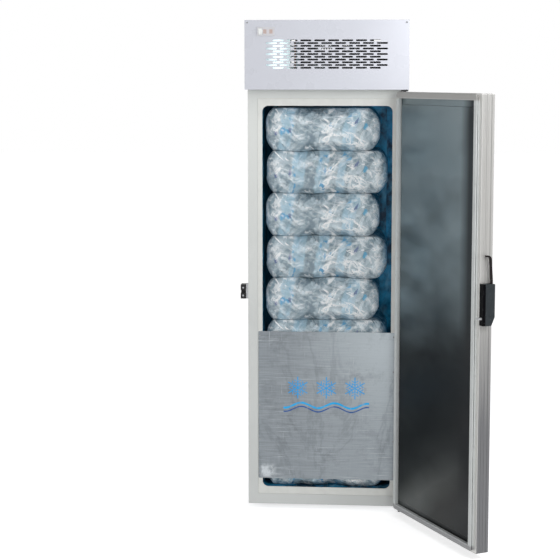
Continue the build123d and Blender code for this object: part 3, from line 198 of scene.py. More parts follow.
# Object coordinates of the open door, turned back to the door drawn shut
def shutPoints():
    source = addNode("ShaderNodeTexCoord").outputs["Object"]
    shut = doorSwing.inverted()
    mapping = addNode("ShaderNodeMapping", {"Vector": source, "Location": shut.to_translation()})
    mapping.inputs["Rotation"].default_value = shut.to_euler()
    return mapping.outputs[0]


def axisOf(where, axis):
    return addNode("ShaderNodeSeparateXYZ", {"Vector": where}).outputs[axis]


def mathOf(operation, first, second=0.0):
    return addNode("ShaderNodeMath", {0: first, 1: second}, operation=operation).outputs[0]


def times(first, second):
    return mathOf("MULTIPLY", first, second)


def plus(first, second):
    return mathOf("ADD", first, second)


def minus(first, second):
    return mathOf("SUBTRACT", first, second)


def larger(first, second):
    return mathOf("MAXIMUM", first, second)


def largest(values):
    found = values[0]
    for value in values[1:]:
        found = larger(found, value)
    return found


def scaledSum(first, factor, rest):
    made = addNode("ShaderNodeMath", {0: first, 1: factor, 2: rest}, operation="MULTIPLY_ADD")
    return made.outputs[0]


def rangeOf(value, low, high, toLow=0.0, toHigh=1.0):
    inputs = {"Value": value, "From Min": low, "From Max": high, "To Min": toLow, "To Max": toHigh}
    return addNode("ShaderNodeMapRange", inputs).outputs[0]


# one from centre - half to centre + half, and nought outside
def bandOf(value, centre, half, soft=0.0012):
    away = mathOf("ABSOLUTE", minus(value, centre))
    return rangeOf(away, half + soft, half - soft)


def noiseOf(where, scale, detail=3.0, roughness=0.55, distortion=0.0):
    inputs = {"Vector": where, "Scale": scale, "Detail": detail, "Roughness": roughness}
    inputs["Distortion"] = distortion
    return addNode("ShaderNodeTexNoise", inputs).outputs["Fac"]


# noise cut to run from nought to one between the setting's levels
def cloudsOf(where, setting, detail=3.0, roughness=0.55, distortion=0.0):
    level = noiseOf(where, setting["scale"], detail, roughness, distortion)
    return rangeOf(level, *setting["levels"])


# noise in long runs, stretched and turned as the setting says
def runsOf(where, setting, *shape):
    return noiseOf(scaled(where, setting["stretch"], setting.get("turn", 0.0)), setting["scale"], *shape)


def streaksOf(where, setting, *shape):
    return rangeOf(runsOf(where, setting, *shape), *setting["levels"])


# sharp ridges where the noise crosses its middle
def creasesOf(where, scale, detail=5.0, roughness=0.6, distortion=0.0, sharp=7.0):
    level = noiseOf(where, scale, detail, roughness, distortion)
    away = mathOf("ABSOLUTE", minus(level, 0.5))
    return rangeOf(away, 1.0 / sharp, 0.0)


# flat facets, each of its own tone
def shardsOf(where, scale):
    made = addNode("ShaderNodeTexVoronoi", {"Vector": where, "Scale": scale})
    return addNode("ShaderNodeSeparateColor", {"Color": made.outputs["Color"]}).outputs[0]


def cellsOf(where, scale):
    return addNode("ShaderNodeTexVoronoi", {"Vector": where, "Scale": scale}).outputs["Distance"]


def mixOf(factor, first, second, blend="MIX"):
    made = addNode("ShaderNodeMix", data_type="RGBA", blend_type=blend)
    for socket, value in ((0, factor), (6, first), (7, second)):
        wire(made, socket, value)
    return made.outputs[2]


def shade(colour, factor=1.0):
    return (colour[0] * factor, colour[1] * factor, colour[2] * factor, 1.0)


# lays a share of a plain colour over the tone, where the mask is
def tint(tone, mask, share, colour):
    return mixOf(times(mask, share), tone, shade(colour))


def glaze(tone, mask, setting):
    return tint(tone, mask, setting["share"], setting["colour"])


def darken(tone, mask, setting, colour):
    return mixOf(times(mask, setting["share"]), tone, shade(colour, setting["shade"]))


def blend(factor, colours):
    return mixOf(factor, shade(colours[0]), shade(colours[1]))


def rampOf(value, stops):
    made = addNode("ShaderNodeValToRGB", {"Fac": value})
    elements = made.color_ramp.elements
    while len(elements) < len(stops):
        elements.new(0.5)
    for element, (place, colour) in zip(elements, stops):
        element.position = place
        element.color = shade(colour)
    return made.outputs[0]


def roundedEdges(radius):
    return addNode("ShaderNodeBevel", {"Radius": radius}, samples=4).outputs[0]


def bumpOf(height, distance, strength=1.0, normal=None):
    inputs = {"Height": height, "Distance": distance, "Strength": strength}
    if normal is not None:
        inputs["Normal"] = normal
    return addNode("ShaderNodeBump", inputs).outputs[0]


# the finish's own bump, over edges that the shader rounds
def relief(height, setting, edge=0.0):
    edges = roundedEdges(edge) if edge else None
    put("Normal", bumpOf(height, setting["depth"], setting["strength"], edges))


def seenRays():
    rays = addNode("ShaderNodeLightPath").outputs
    return largest([rays["Is Camera Ray"], rays["Is Transmission Ray"], rays["Is Glossy Ray"]])


# Painted sheet: cloudy, with specks of dust and the orange peel of sprayed paint
lacquerSettings = {
    "clouds": {"scale": 2.3, "levels": (0.35, 0.7)},
    "specks": {"scale": 160.0, "levels": (0.70, 0.78), "share": 0.35, "shade": 0.72},
    "paintedLowShade": {"top": 1.75, "bottom": 0.35, "tint": (1.0, 1.0, 1.01)},
    "handled": {"scale": 9.0, "levels": (0.3, 0.75), "smooth": 0.92, "rough": 1.15},
    "peel": {"scale": 520.0, "depth": 0.00012, "strength": 0.35},
    "edge": 0.0012,
}


def cloudyPaint(where, colour, darkest):
    return mixOf(cloudsOf(where, lacquerSettings["clouds"], 4.0), shade(colour), shade(colour, darkest))


def sprayed(where):
    peel = lacquerSettings["peel"]
    relief(noiseOf(where, peel["scale"], 2.0), peel, lacquerSettings["edge"])


def lacqueredSheet(name, colour, roughness=0.28, coat=0.25, dust=0.10, low=1.0):
    material = startMaterial(name, roughness, coat=coat)
    where = points()
    specks = lacquerSettings["specks"]
    handled = lacquerSettings["handled"]
    paintedShading = lacquerSettings["paintedLowShade"]
    tone = cloudyPaint(where, colour, 1.0 - dust * 0.5)
    tone = darken(tone, cloudsOf(where, specks, 2.0), specks, colour)
    # painted shade: the sheet is darker towards the bottom
    if low < 1.0:
        height = rangeOf(axisOf(where, 2), paintedShading["top"], paintedShading["bottom"])
        tone = mixOf(height, tone, shade(paintedShading["tint"], low), "MULTIPLY")
    put("Base Color", tone)
    touched = noiseOf(where, handled["scale"], 5.0)
    smooth, rough = (roughness * handled[key] for key in ("smooth", "rough"))
    touched = rangeOf(touched, *handled["levels"], smooth, rough)
    put("Roughness", touched)
    sprayed(where)
    return material


metalSettings = {
    "lines": {"scale": 14.0, "levels": (0.3, 0.7), "dark": 0.9, "light": 1.08},
    "bump": {"depth": 0.00008, "strength": 0.25},
    "marks": {"scale": 3.1, "levels": (0.38, 0.68), "share": 0.15, "shade": 0.6, "rougher": 0.12},
    "edge": 0.0008,
}


def brushedMetal(name, colour, roughness, grain=(1.0, 1.0, 60.0)):
    material = startMaterial(name, roughness, 1.0)
    where = points()
    brush = metalSettings["lines"]
    smudge = metalSettings["marks"]
    lines = noiseOf(points(grain), brush["scale"], 6.0, 0.7)
    marks = cloudsOf(where, smudge, 5.0, 0.6, 0.6)
    streaks = rangeOf(lines, *brush["levels"])
    tone = mixOf(streaks, shade(colour, brush["dark"]), shade(colour, brush["light"]))
    tone = darken(tone, marks, smudge, colour)
    put("Base Color", tone)
    put("Roughness", scaledSum(marks, smudge["rougher"], roughness))
    relief(lines, metalSettings["bump"], metalSettings["edge"])
    return material


plasticSettings = {
    "mottle": {"scale": 24.0, "levels": (0.35, 0.7)},
    "scuffs": {"stretch": (1.0, 1.0, 6.0), "scale": 90.0, "levels": (0.66, 0.74), "share": 0.4},
    "grainStrength": 0.4,
    "edge": 0.0008,
}


def mouldedPlastic(name, colour, roughness=0.45, grainSize=700.0, grainDepth=0.0002, fade=0.15):
    material = startMaterial(name, roughness)
    where = points()
    scuff = plasticSettings["scuffs"]
    mottle = cloudsOf(where, plasticSettings["mottle"], 4.0)
    tone = mixOf(mottle, shade(colour), shade(colour, 1.0 - fade))
    pale = [min(1.0, channel * 1.5 + 0.05) for channel in colour]
    tone = tint(tone, cloudsOf(points(scuff["stretch"]), scuff), scuff["share"], pale)
    put("Base Color", tone)
    put("Roughness", rangeOf(mottle, 0.0, 1.0, roughness * 0.9, roughness * 1.2))
    bump = {"depth": grainDepth, "strength": plasticSettings["grainStrength"]}
    relief(cellsOf(where, grainSize), bump, plasticSettings["edge"])
    return material


rubberSettings = {
    "bloom": {"scale": 12.0, "levels": (0.4, 0.75)},
    "grime": {"scale": 70.0, "to": 0.72, "shade": 0.5},
    "fine": {"scale": 900.0, "depth": 0.0002, "strength": 0.3},
    "edge": 0.001,
}


def bloomedRubber(where, colour, darkest):
    return mixOf(cloudsOf(where, rubberSettings["bloom"], 4.0), shade(colour), shade(colour, darkest))


def finishRubber(where, colour, tone, grimeFrom, grimeShare):
    grime = rubberSettings["grime"]
    fine = rubberSettings["fine"]
    mask = rangeOf(noiseOf(where, grime["scale"], 3.0), grimeFrom, grime["to"])
    tone = mixOf(times(mask, grimeShare), tone, shade(colour, grime["shade"]))
    put("Base Color", tone)
    relief(noiseOf(where, fine["scale"], 2.0), fine, rubberSettings["edge"])


def softRubber(name, colour, roughness):
    material = startMaterial(name, roughness)
    where = points()
    tone = bloomedRubber(where, colour, 0.82)
    finishRubber(where, colour, tone, 0.62, 0.3)
    return material


# The door's seal: its head and foot runs are darker than its sides, which is painted shade
gasketSettings = {
    "head": {"levels": (1.790, 1.800), "colour": (0.36, 0.345, 0.33)},
    "foot": {"levels": (0.062, 0.052), "colour": (0.27, 0.27, 0.28)},
    "paintedShading": 0.85,
}


def doorGasket(name, colour):
    material = startMaterial(name, 0.5)
    where = shutPoints()
    tone = bloomedRubber(where, colour, 0.88)
    upZ = axisOf(where, 2)
    # painted shade on the head and foot runs
    for run in ("head", "foot"):
        setting = gasketSettings[run]
        tone = tint(tone, rangeOf(upZ, *setting["levels"]), gasketSettings["paintedShading"], setting["colour"])
    finishRubber(where, colour, tone, 0.60, 0.25)
    return material


foamSettings = {"pores": 420.0, "dark": 0.72, "light": 1.05, "depth": 0.0008, "strength": 0.6}


def foamCore(name, colour):
    material = startMaterial(name, 0.9)
    pores = cellsOf(points(), foamSettings["pores"])
    dark, light = (shade(colour, foamSettings[key]) for key in ("dark", "light"))
    put("Base Color", mixOf(rangeOf(pores, 0.0, 0.8), dark, light))
    relief(pores, foamSettings)
    return material


# The printed ornament: three six-armed snow stars over two wavy bands
printSettings = {
    "count": 3,
    "star": {"pitch": 0.118, "up": 0.022, "arm": 0.046, "wide": 0.0042, "branch": 0.016, "out": (0.024, 0.0132)},
    "bands": {"wave": 0.011, "length": 0.137, "upper": -0.052, "lower": -0.0676, "wide": 0.0085},
    "soft": 0.001,
    "starBlue": (0.015, 0.30, 0.66),
    "upperBlue": (0.012, 0.35, 0.72),
    "lowerBlue": (0.02, 0.08, 0.28),
}


def starOf(x, z):
    star = printSettings["star"]
    soft = printSettings["soft"]
    sector = math.pi / 3
    tile = mathOf("ROUND", mathOf("DIVIDE", x, star["pitch"]))
    starX = minus(x, times(tile, star["pitch"]))
    starZ = minus(z, star["up"])
    square = plus(mathOf("POWER", starX, 2.0), mathOf("POWER", starZ, 2.0))
    reach = mathOf("SQRT", square)
    angle = mathOf("ARCTAN2", starZ, starX)
    # all six arms are folded onto one
    turn = mathOf("DIVIDE", plus(angle, math.pi * 1.5), sector)
    fold = mathOf("ABSOLUTE", minus(turn, mathOf("ROUND", turn)))
    fold = times(fold, sector)
    along = times(reach, mathOf("COSINE", fold))
    aside = times(reach, mathOf("SINE", fold))
    ends = rangeOf(along, star["arm"] + soft, star["arm"] - soft)
    arm = times(bandOf(aside, 0.0, star["wide"] / 2), ends)
    tip = star["branch"] * 0.9
    for out in star["out"]:
        leg = times(minus(along, out), math.sin(sector))
        leg = minus(leg, times(aside, math.cos(sector)))
        line = bandOf(leg, 0.0, star["wide"] * 0.4)
        branch = times(line, rangeOf(aside, tip + soft, tip - soft))
        arm = larger(arm, branch)
    return arm


def printDecal(tone, where, setting, worn):
    bands = printSettings["bands"]
    place = setting["place"]
    x = mathOf("DIVIDE", minus(axisOf(where, 0), place[0]), setting["size"])
    z = mathOf("DIVIDE", minus(axisOf(where, 2), place[1]), setting["size"])
    inside = bandOf(x, 0.0, printSettings["star"]["pitch"] * printSettings["count"] / 2)
    arm = times(starOf(x, z), inside)
    swing = mathOf("SINE", times(x, 2 * math.pi / bands["length"]))
    level = minus(z, times(swing, bands["wave"]))
    upper = times(bandOf(level, bands["upper"], bands["wide"] / 2), inside)
    lower = times(bandOf(level, bands["lower"], bands["wide"] / 3), inside)
    for mask, blue in ((upper, "upperBlue"), (lower, "lowerBlue"), (arm, "starBlue")):
        tone = tint(tone, mask, worn, printSettings[blue])
    return tone


# Guard plate: rolled steel with fine lines, cloudy handling marks, dark smudges and long scratches
guardSettings = {
    "steel": ((0.150, 0.168, 0.186), (0.300, 0.332, 0.358)),
    "lines": {"stretch": (1.5, 1.0, 90.0), "scale": 6.0, "levels": (0.3, 0.7)},
    "cross": {
        "stretch": (110.0, 1.0, 1.2),
        "scale": 5.0,
        "levels": (0.5, 0.75, 0.0, 0.4),
        "colour": (0.30, 0.335, 0.36),
    },
    "sheen": {"across": (-0.15, 0.22), "up": (0.30, 0.72, 0.25, 1.0), "share": 0.80, "colour": (0.46, 0.51, 0.54)},
    "cloud": {"scale": 1.7, "levels": (0.35, 0.7), "share": 0.25, "colour": (0.38, 0.42, 0.45)},
    "smudge": {
        "stretch": (1.0, 1.0, 0.55),
        "turn": 0.5,
        "scale": 2.6,
        "levels": (0.82, 0.99),
        "share": 0.13,
        "colour": (0.075, 0.085, 0.095),
    },
    "blots": {"scale": 7.0, "levels": (0.50, 0.72), "share": 0.34, "colour": (0.06, 0.07, 0.08)},
    "scratches": (
        {"stretch": (2.2, 1.0, 170.0), "turn": 0.35, "scale": 2.2, "levels": (0.66, 0.70)},
        {"stretch": (150.0, 1.0, 3.0), "turn": 0.15, "scale": 2.0, "levels": (0.68, 0.72)},
        {"stretch": (2.6, 1.0, 190.0), "turn": -0.12, "scale": 2.0, "levels": (0.66, 0.70)},
    ),
    "scratched": {"scale": 7.0, "levels": (0.47, 0.58), "share": 0.7, "colour": (0.55, 0.59, 0.62)},
    "print": {"place": (0.0, 0.520), "size": 1.05, "scale": 60.0, "levels": (0.36, 0.50, 0.55, 1.0)},
    "rubbed": {
        "left": (-0.290, -0.280),
        "right": (-0.214, -0.236),
        "bottom": (0.142, 0.150),
        "top": (0.208, 0.188),
        "scale": 34.0,
        "levels": (0.38, 0.56),
        "share": 0.75,
        "colour": (0.62, 0.66, 0.69),
    },
    "dents": {"scale": 2.2, "depth": 0.0015, "strength": 0.25},
    "roughness": (0.36, 0.55),
    "edge": 0.0008,
}


def guardSheet(name):
    material = startMaterial(name, 0.42, 0.6)
    where = points()
    acrossX = axisOf(where, 0)
    upZ = axisOf(where, 2)
    setting = guardSettings["lines"]
    fine = cloudsOf(points(setting["stretch"]), setting, 5.0, 0.7)
    tone = blend(fine, guardSettings["steel"])
    setting = guardSettings["cross"]
    cross = cloudsOf(points(setting["stretch"]), setting, 4.0, 0.7)
    tone = mixOf(cross, tone, shade(setting["colour"]))
    # lighter towards the upper right
    setting = guardSettings["sheen"]
    sheen = times(rangeOf(acrossX, *setting["across"]), rangeOf(upZ, *setting["up"]))
    tone = glaze(tone, sheen, setting)
    setting = guardSettings["cloud"]
    tone = glaze(tone, cloudsOf(where, setting), setting)
    setting = guardSettings["smudge"]
    smudge = points(setting["stretch"], setting["turn"])
    smudge = rangeOf(creasesOf(smudge, setting["scale"], 6.0, 0.65, 0.7), *setting["levels"])
    tone = glaze(tone, smudge, setting)
    setting = guardSettings["blots"]
    tone = glaze(tone, cloudsOf(where, setting, 6.0, 0.75), setting)
    scratches = []
    for scratch in guardSettings["scratches"]:
        scratches.append(cloudsOf(points(scratch["stretch"], scratch["turn"]), scratch))
    setting = guardSettings["scratched"]
    tone = glaze(tone, times(largest(scratches), cloudsOf(where, setting)), setting)
    setting = guardSettings["print"]
    worn = cloudsOf(where, setting, 4.0, 0.7)
    tone = printDecal(tone, where, setting, worn)
    # a rubbed patch low on the left
    setting = guardSettings["rubbed"]
    patch = cloudsOf(where, setting, 5.0, 0.7)
    for side, axis in (("left", acrossX), ("right", acrossX), ("bottom", upZ), ("top", upZ)):
        patch = times(patch, rangeOf(axis, *setting[side]))
    tone = glaze(tone, patch, setting)
    put("Base Color", tone)
    put("Roughness", rangeOf(smudge, 0.0, 1.0, *guardSettings["roughness"]))
    setting = guardSettings["dents"]
    relief(noiseOf(where, setting["scale"], 2.0), setting, guardSettings["edge"])
    return material


# Door's inner sheet: polished, its colour painted reflection, dark low down and clouded above, with a painted
# highlight stripe that slants
linerSettings = {
    "tilt": {"top": 0.9, "bottom": 0.3, "amount": 0.47},
    "wobble": {"stretch": (1.0, 1.0, 1.6), "scale": 2.2, "levels": (0.2, 0.8, -0.05, 0.05)},
    "heights": (0.03, 1.82),
    "stops": (
        (0.00, (0.015, 0.017, 0.016)),
        (0.04, (0.014, 0.015, 0.014)),
        (0.105, (0.085, 0.090, 0.088)),
        (0.165, (0.024, 0.026, 0.026)),
        (0.23, (0.006, 0.009, 0.010)),
        (0.40, (0.006, 0.009, 0.011)),
        (0.48, (0.050, 0.062, 0.068)),
        (0.60, (0.160, 0.200, 0.215)),
        (0.80, (0.200, 0.245, 0.262)),
        (1.00, (0.230, 0.275, 0.290)),
    ),
    "film": {
        "stretch": (0.8, 1.0, 1.5),
        "scale": 3.6,
        "levels": (0.38, 0.66),
        "fade": (0.7, 1.2, 0.04, 0.30),
        "colour": (0.28, 0.33, 0.35),
    },
    "paintedDark": {
        "stretch": (1.3, 1.0, 2.0),
        "scale": 2.4,
        "levels": (0.50, 0.70),
        "share": 0.35,
        "colour": (0.050, 0.058, 0.060),
    },
    "paintedHighlight": {
        "stretch": (0.8, 1.0, 2.2),
        "scale": 2.8,
        "levels": (0.45, 0.66),
        "across": (-0.02, 0.24),
        "up": (0.75, 1.05),
        "share": 0.6,
        "colour": (0.42, 0.52, 0.56),
    },
    "edge": {"across": (-0.195, -0.262), "share": 0.92, "colour": (0.018, 0.020, 0.022)},
    "paintedShade": {"across": (0.12, -0.22), "up": (0.90, 0.60, 0.0, 0.65), "colour": (0.006, 0.007, 0.008)},
    "roughness": (0.30, 0.44),
    "brush": {"stretch": (120.0, 1.0, 1.0), "scale": 6.0, "depth": 0.00004, "strength": 0.2},
    "waves": {"scale": 1.6, "depth": 0.004, "strength": 0.3},
}


def doorLinerSheet(name):
    material = startMaterial(name, 0.34, 1.0)
    where = shutPoints()
    upZ = axisOf(where, 2)
    acrossX = axisOf(where, 0)
    tilt = linerSettings["tilt"]
    sway = times(rangeOf(upZ, tilt["top"], tilt["bottom"]), tilt["amount"])
    height = plus(upZ, times(acrossX, sway))
    setting = linerSettings["wobble"]
    height = plus(height, streaksOf(where, setting, 3.0))
    # painted reflection by height: a slanting highlight stripe low down, dark in the middle, pale above
    tone = rampOf(rangeOf(height, *linerSettings["heights"]), linerSettings["stops"])
    # painted reflection: pale streaks, stronger higher up
    setting = linerSettings["film"]
    film = streaksOf(where, setting, 3.0, 0.5, 0.4)
    tone = tint(tone, film, rangeOf(upZ, *setting["fade"]), setting["colour"])
    # painted darker patches in the reflection
    setting = linerSettings["paintedDark"]
    tone = glaze(tone, streaksOf(where, setting, 2.0), setting)
    # painted highlight on the upper part, towards the hinge side
    setting = linerSettings["paintedHighlight"]
    paintedHighlight = times(streaksOf(where, setting, 2.0), rangeOf(acrossX, *setting["across"]))
    tone = glaze(tone, times(paintedHighlight, rangeOf(upZ, *setting["up"])), setting)
    # painted shadow of the lip along the free end
    setting = linerSettings["edge"]
    tone = glaze(tone, rangeOf(acrossX, *setting["across"]), setting)
    # painted shade low down towards the free end, so that the highlight stays on the hinge side
    setting = linerSettings["paintedShade"]
    tone = tint(tone, rangeOf(acrossX, *setting["across"]), rangeOf(upZ, *setting["up"]), setting["colour"])
    put("Base Color", tone)
    put("Roughness", rangeOf(film, 0.0, 1.0, *linerSettings["roughness"]))
    setting = linerSettings["brush"]
    lines = runsOf(where, setting, 4.0)
    edges = roundedEdges(lacquerSettings["edge"])
    fine = bumpOf(lines, setting["depth"], setting["strength"], edges)
    setting = linerSettings["waves"]
    waves = noiseOf(where, setting["scale"], 1.0)
    put("Normal", bumpOf(waves, setting["depth"], setting["strength"], fine))
    return material


# Door's aluminium profile: a pale lip, two grooves with painted shade in them, painted shade on its rails and
# painted shade low on its end face
profileSettings = {
    "lip": {"levels": (-0.3035, -0.306), "shade": 1.36},
    "runs": {"stretch": (60.0, 60.0, 0.6), "scale": 3.0, "levels": (0.45, 0.7, 0.0, 0.25), "shade": 0.62},
    "grooveShade": {"places": (-0.3245, -0.3465), "half": 0.0016, "share": 0.5, "shade": 0.35},
    "railShade": {
        "head": (1.776, 1.781),
        "foot": (0.078, 0.070),
        "side": (-0.298, -0.290),
        "share": 0.55,
        "shade": 0.42,
    },
    "paintedDark": {"wander": 0.12, "top": 1.02, "bottom": 0.55, "share": 0.85, "colour": (0.115, 0.118, 0.130)},
}


def doorProfile(name, colour):
    material = startMaterial(name, 0.32, 0.3, coat=0.1)
    where = shutPoints()
    acrossX, acrossY, upZ = (axisOf(where, axis) for axis in range(3))
    tone = cloudyPaint(where, colour, 0.93)
    setting = profileSettings["lip"]
    ending = rangeOf(acrossY, *setting["levels"])
    tone = mixOf(ending, shade(colour, setting["shade"]), tone)
    setting = profileSettings["runs"]
    runs = runsOf(where, setting, 3.0)
    tone = mixOf(rangeOf(runs, *setting["levels"]), tone, shade(colour, setting["shade"]))
    # painted shade in the two grooves
    setting = profileSettings["grooveShade"]
    for place in setting["places"]:
        line = bandOf(acrossY, place, setting["half"], setting["half"])
        tone = darken(tone, line, setting, colour)
    # painted shade on the head and foot rails
    setting = profileSettings["railShade"]
    railShade = larger(rangeOf(upZ, *setting["head"]), rangeOf(upZ, *setting["foot"]))
    railShade = times(railShade, rangeOf(acrossX, *setting["side"]))
    tone = darken(tone, railShade, setting, colour)
    # painted shade on the end face, deeper low down
    setting = profileSettings["paintedDark"]
    low = plus(upZ, rangeOf(runs, 0.3, 0.7, -setting["wander"], setting["wander"]))
    low = rangeOf(low, setting["top"], setting["bottom"], 0.0, setting["share"])
    tone = tint(tone, ending, low, setting["colour"])
    put("Base Color", tone)
    sprayed(where)
    return material


outerSettings = {
    "front": -0.355,
    "print": {"place": (0.02, 1.10), "size": 1.2, "scale": 60.0, "levels": (0.28, 0.36)},
}


def doorOuterSheet(name, colour):
    material = startMaterial(name, 0.3, coat=0.2)
    where = shutPoints()
    tone = cloudyPaint(where, colour, 0.94)
    setting = outerSettings["print"]
    worn = cloudsOf(where, setting, 4.0, 0.7)
    outer = mathOf("LESS_THAN", axisOf(where, 1), outerSettings["front"])
    tone = printDecal(tone, where, setting, times(worn, outer))
    put("Base Color", tone)
    sprayed(where)
    return material


# Latch housing: slate on its cover, and near black by the door, which is painted shadow of a slot
housingSettings = {
    "specular": 0.04,
    "split": (-0.3115, -0.3135),
    "slotShadow": (0.001, 0.001, 0.002),
    "slate": ((0.028, 0.034, 0.038), (0.052, 0.060, 0.066)),
    "nicks": {"scale": 210.0, "levels": (0.68, 0.74), "share": 0.5, "colour": (0.25, 0.25, 0.25)},
    "mottle": {"scale": 60.0, "depth": 0.0002, "strength": 0.3},
    "edge": 0.0012,
}


def slotShadowHousing(name):
    material = startMaterial(name, 0.4)
    put("Specular IOR Level", housingSettings["specular"])
    where = shutPoints()
    cover = rangeOf(axisOf(where, 1), *housingSettings["split"])
    grain = housingSettings["mottle"]
    mottle = noiseOf(where, grain["scale"], 4.0, 0.6)
    slate = blend(mottle, housingSettings["slate"])
    # the part by the door is near black: painted shadow of a slot
    tone = mixOf(cover, shade(housingSettings["slotShadow"]), slate)
    setting = housingSettings["nicks"]
    tone = glaze(tone, cloudsOf(where, setting), setting)
    put("Base Color", tone)
    relief(mottle, grain, housingSettings["edge"])
    return material


# Film of the sacks: facets over the cubes of ice, painted shadow in the folds, painted white glints, printed bands
# and marks
filmSettings = {
    "coatRoughness": 0.12,
    "coatIor": 1.6,
    "sway": {"scale": 9.0, "detail": 3.0, "reach": 0.05},
    "jitter": {"scale": 55.0, "detail": 2.0, "reach": 0.012},
    "facets": (
        {"stretch": (0.8, 1.0, 3.4), "turn": 0.60, "scale": 22.0, "weight": 0.22},
        {"stretch": (3.4, 1.0, 0.8), "turn": 0.40, "scale": 22.0, "weight": 0.20},
    ),
    "chips": {"scale": 62.0, "weight": 0.10},
    "depth": {"scale": 9.0, "weight": 0.72},
    "ice": ((0.20, 0.295, 0.355), (0.68, 0.78, 0.835)),
    "iceLevels": (0.42, 0.84),
    "folds": (((2.2, 1.5, 0.7), 0.55), ((0.7, 1.5, 2.4), 0.30)),
    "foldScale": 8.0,
    "shadow": {"folds": (0.60, 0.90), "depth": (0.52, 0.40), "share": 0.65, "colour": (0.11, 0.17, 0.215)},
    "glance": (0.52, 0.80, 0.0, 0.7),
    "lit": {"scale": 6.5, "levels": (0.42, 0.60)},
    "spark": {"folds": (0.82, 0.97), "depth": (0.46, 0.60)},
    "glintStreak": {"scale": 1.6, "levels": (0.60, 0.66)},
    "glintStreaks": (
        {"turn": 0.75, "stretch": (9.0, 9.0, 40.0), "scale": 8.0, "levels": (0.53, 0.60)},
        {"turn": -0.45, "stretch": (9.0, 9.0, 36.0), "scale": 8.7, "levels": (0.53, 0.60)},
        {"turn": 1.25, "stretch": (9.0, 9.0, 33.0), "scale": 9.9, "levels": (0.44, 0.38)},
    ),
    "lean": {"slope": -0.16, "shift": 0.013, "place": 0.025},
    "bandSoft": 0.004,
    "bands": {
        "A": ((-0.176, 0.024), (0.092, 0.026), (0.222, 0.014)),
        "B": ((-0.128, 0.027), (-0.030, 0.023), (0.060, 0.016), (0.232, 0.014)),
    },
    "pale": {"scale": 16.0, "levels": (0.36, 0.56, 0.25, 1.0), "share": 0.62, "colour": (0.40, 0.64, 0.79)},
    "ink": {
        "stretch": (1.6, 1.0, 1.0),
        "scale": 13.0,
        "levels": (0.60, 0.66),
        "share": 0.8,
        "colour": (0.03, 0.30, 0.58),
    },
    "marks": ((-0.150, 0.118), (-0.165, 0.094), (0.012, 0.108), (0.108, 0.118), (0.150, 0.098), (-0.215, 0.080)),
    "mark": {
        "wide": 0.012,
        "high": 0.022,
        "up": 0.025,
        "scale": 50.0,
        "levels": (0.2, 0.8, -0.6, 0.6),
        "edge": (0.55, 0.20, 0.0, 0.8),
        "colours": ((0.02, 0.32, 0.56), (0.02, 0.07, 0.25)),
    },
    "white": {"share": 0.9, "colour": (1.0, 1.0, 1.0)},
    "crinkles": {"stretch": (1.0, 1.0, 1.6), "turn": 0.5, "scale": 34.0},
    "bumps": {"folds": (0.006, 0.6), "level": (0.012, 0.5), "crinkles": (0.003, 0.6)},
}


def drifted(where, field, setting):
    inputs = {"Vector": field, "Scale": setting["scale"], "Detail": setting["detail"]}
    sway = addNode("ShaderNodeTexNoise", inputs).outputs["Color"]
    reach = (setting["reach"],) * 3
    drift = addNode("ShaderNodeVectorMath", {0: sway, 1: reach}, operation="MULTIPLY").outputs[0]
    return addNode("ShaderNodeVectorMath", {0: where, 1: drift}, operation="ADD").outputs[0]


# painted glints that follow the facets and the folds, and thin painted highlight streaks
def glintsOf(where, bent, facets, chips, folds, depth):
    lit = cloudsOf(where, filmSettings["lit"], 2.0)
    glance = largest([times(facet, chips) for facet in facets])
    bright = times(rangeOf(glance, *filmSettings["glance"]), lit)
    setting = filmSettings["spark"]
    spark = times(rangeOf(folds, *setting["folds"]), rangeOf(depth, *setting["depth"]))
    bright = larger(bright, spark)
    # thin painted highlight streaks in three directions
    for setting in filmSettings["glintStreaks"]:
        run = scaled(bent, setting["stretch"], setting["turn"])
        glintStreak = cloudsOf(run, filmSettings["glintStreak"], 2.0, 0.5, 0.6)
        bright = larger(bright, times(glintStreak, cloudsOf(where, setting, 2.0)))
    return bright


# bands in pale blue, which differ on the two kinds of sack, and small marks in dark blue
def printFilm(tone, bent, kind):
    lean = filmSettings["lean"]
    upZ = axisOf(bent, 2)
    slid = plus(axisOf(bent, 0), scaledSum(upZ, lean["slope"], lean["shift"]))
    slid = minus(slid, lean["place"])
    sets = []
    for bands in filmSettings["bands"].values():
        sets.append(largest([bandOf(slid, centre, half, filmSettings["bandSoft"]) for centre, half in bands]))
    printed = addNode("ShaderNodeMix", {0: kind, 2: sets[0], 3: sets[1]}, data_type="FLOAT").outputs[0]
    setting = filmSettings["pale"]
    tone = glaze(tone, times(printed, cloudsOf(bent, setting, 5.0, 0.7)), setting)
    setting = filmSettings["ink"]
    tone = glaze(tone, times(streaksOf(bent, setting, 3.0, 0.6), printed), setting)
    mark = filmSettings["mark"]
    for number, (markX, markZ) in enumerate(filmSettings["marks"]):
        across = mathOf("DIVIDE", minus(slid, markX), mark["wide"])
        up = mathOf("DIVIDE", minus(upZ, markZ + mark["up"]), mark["high"])
        near = plus(mathOf("POWER", across, 2.0), mathOf("POWER", up, 2.0))
        near = rangeOf(plus(near, cloudsOf(bent, mark)), *mark["edge"])
        tone = mixOf(near, tone, shade(mark["colours"][number % 2]))
    return tone


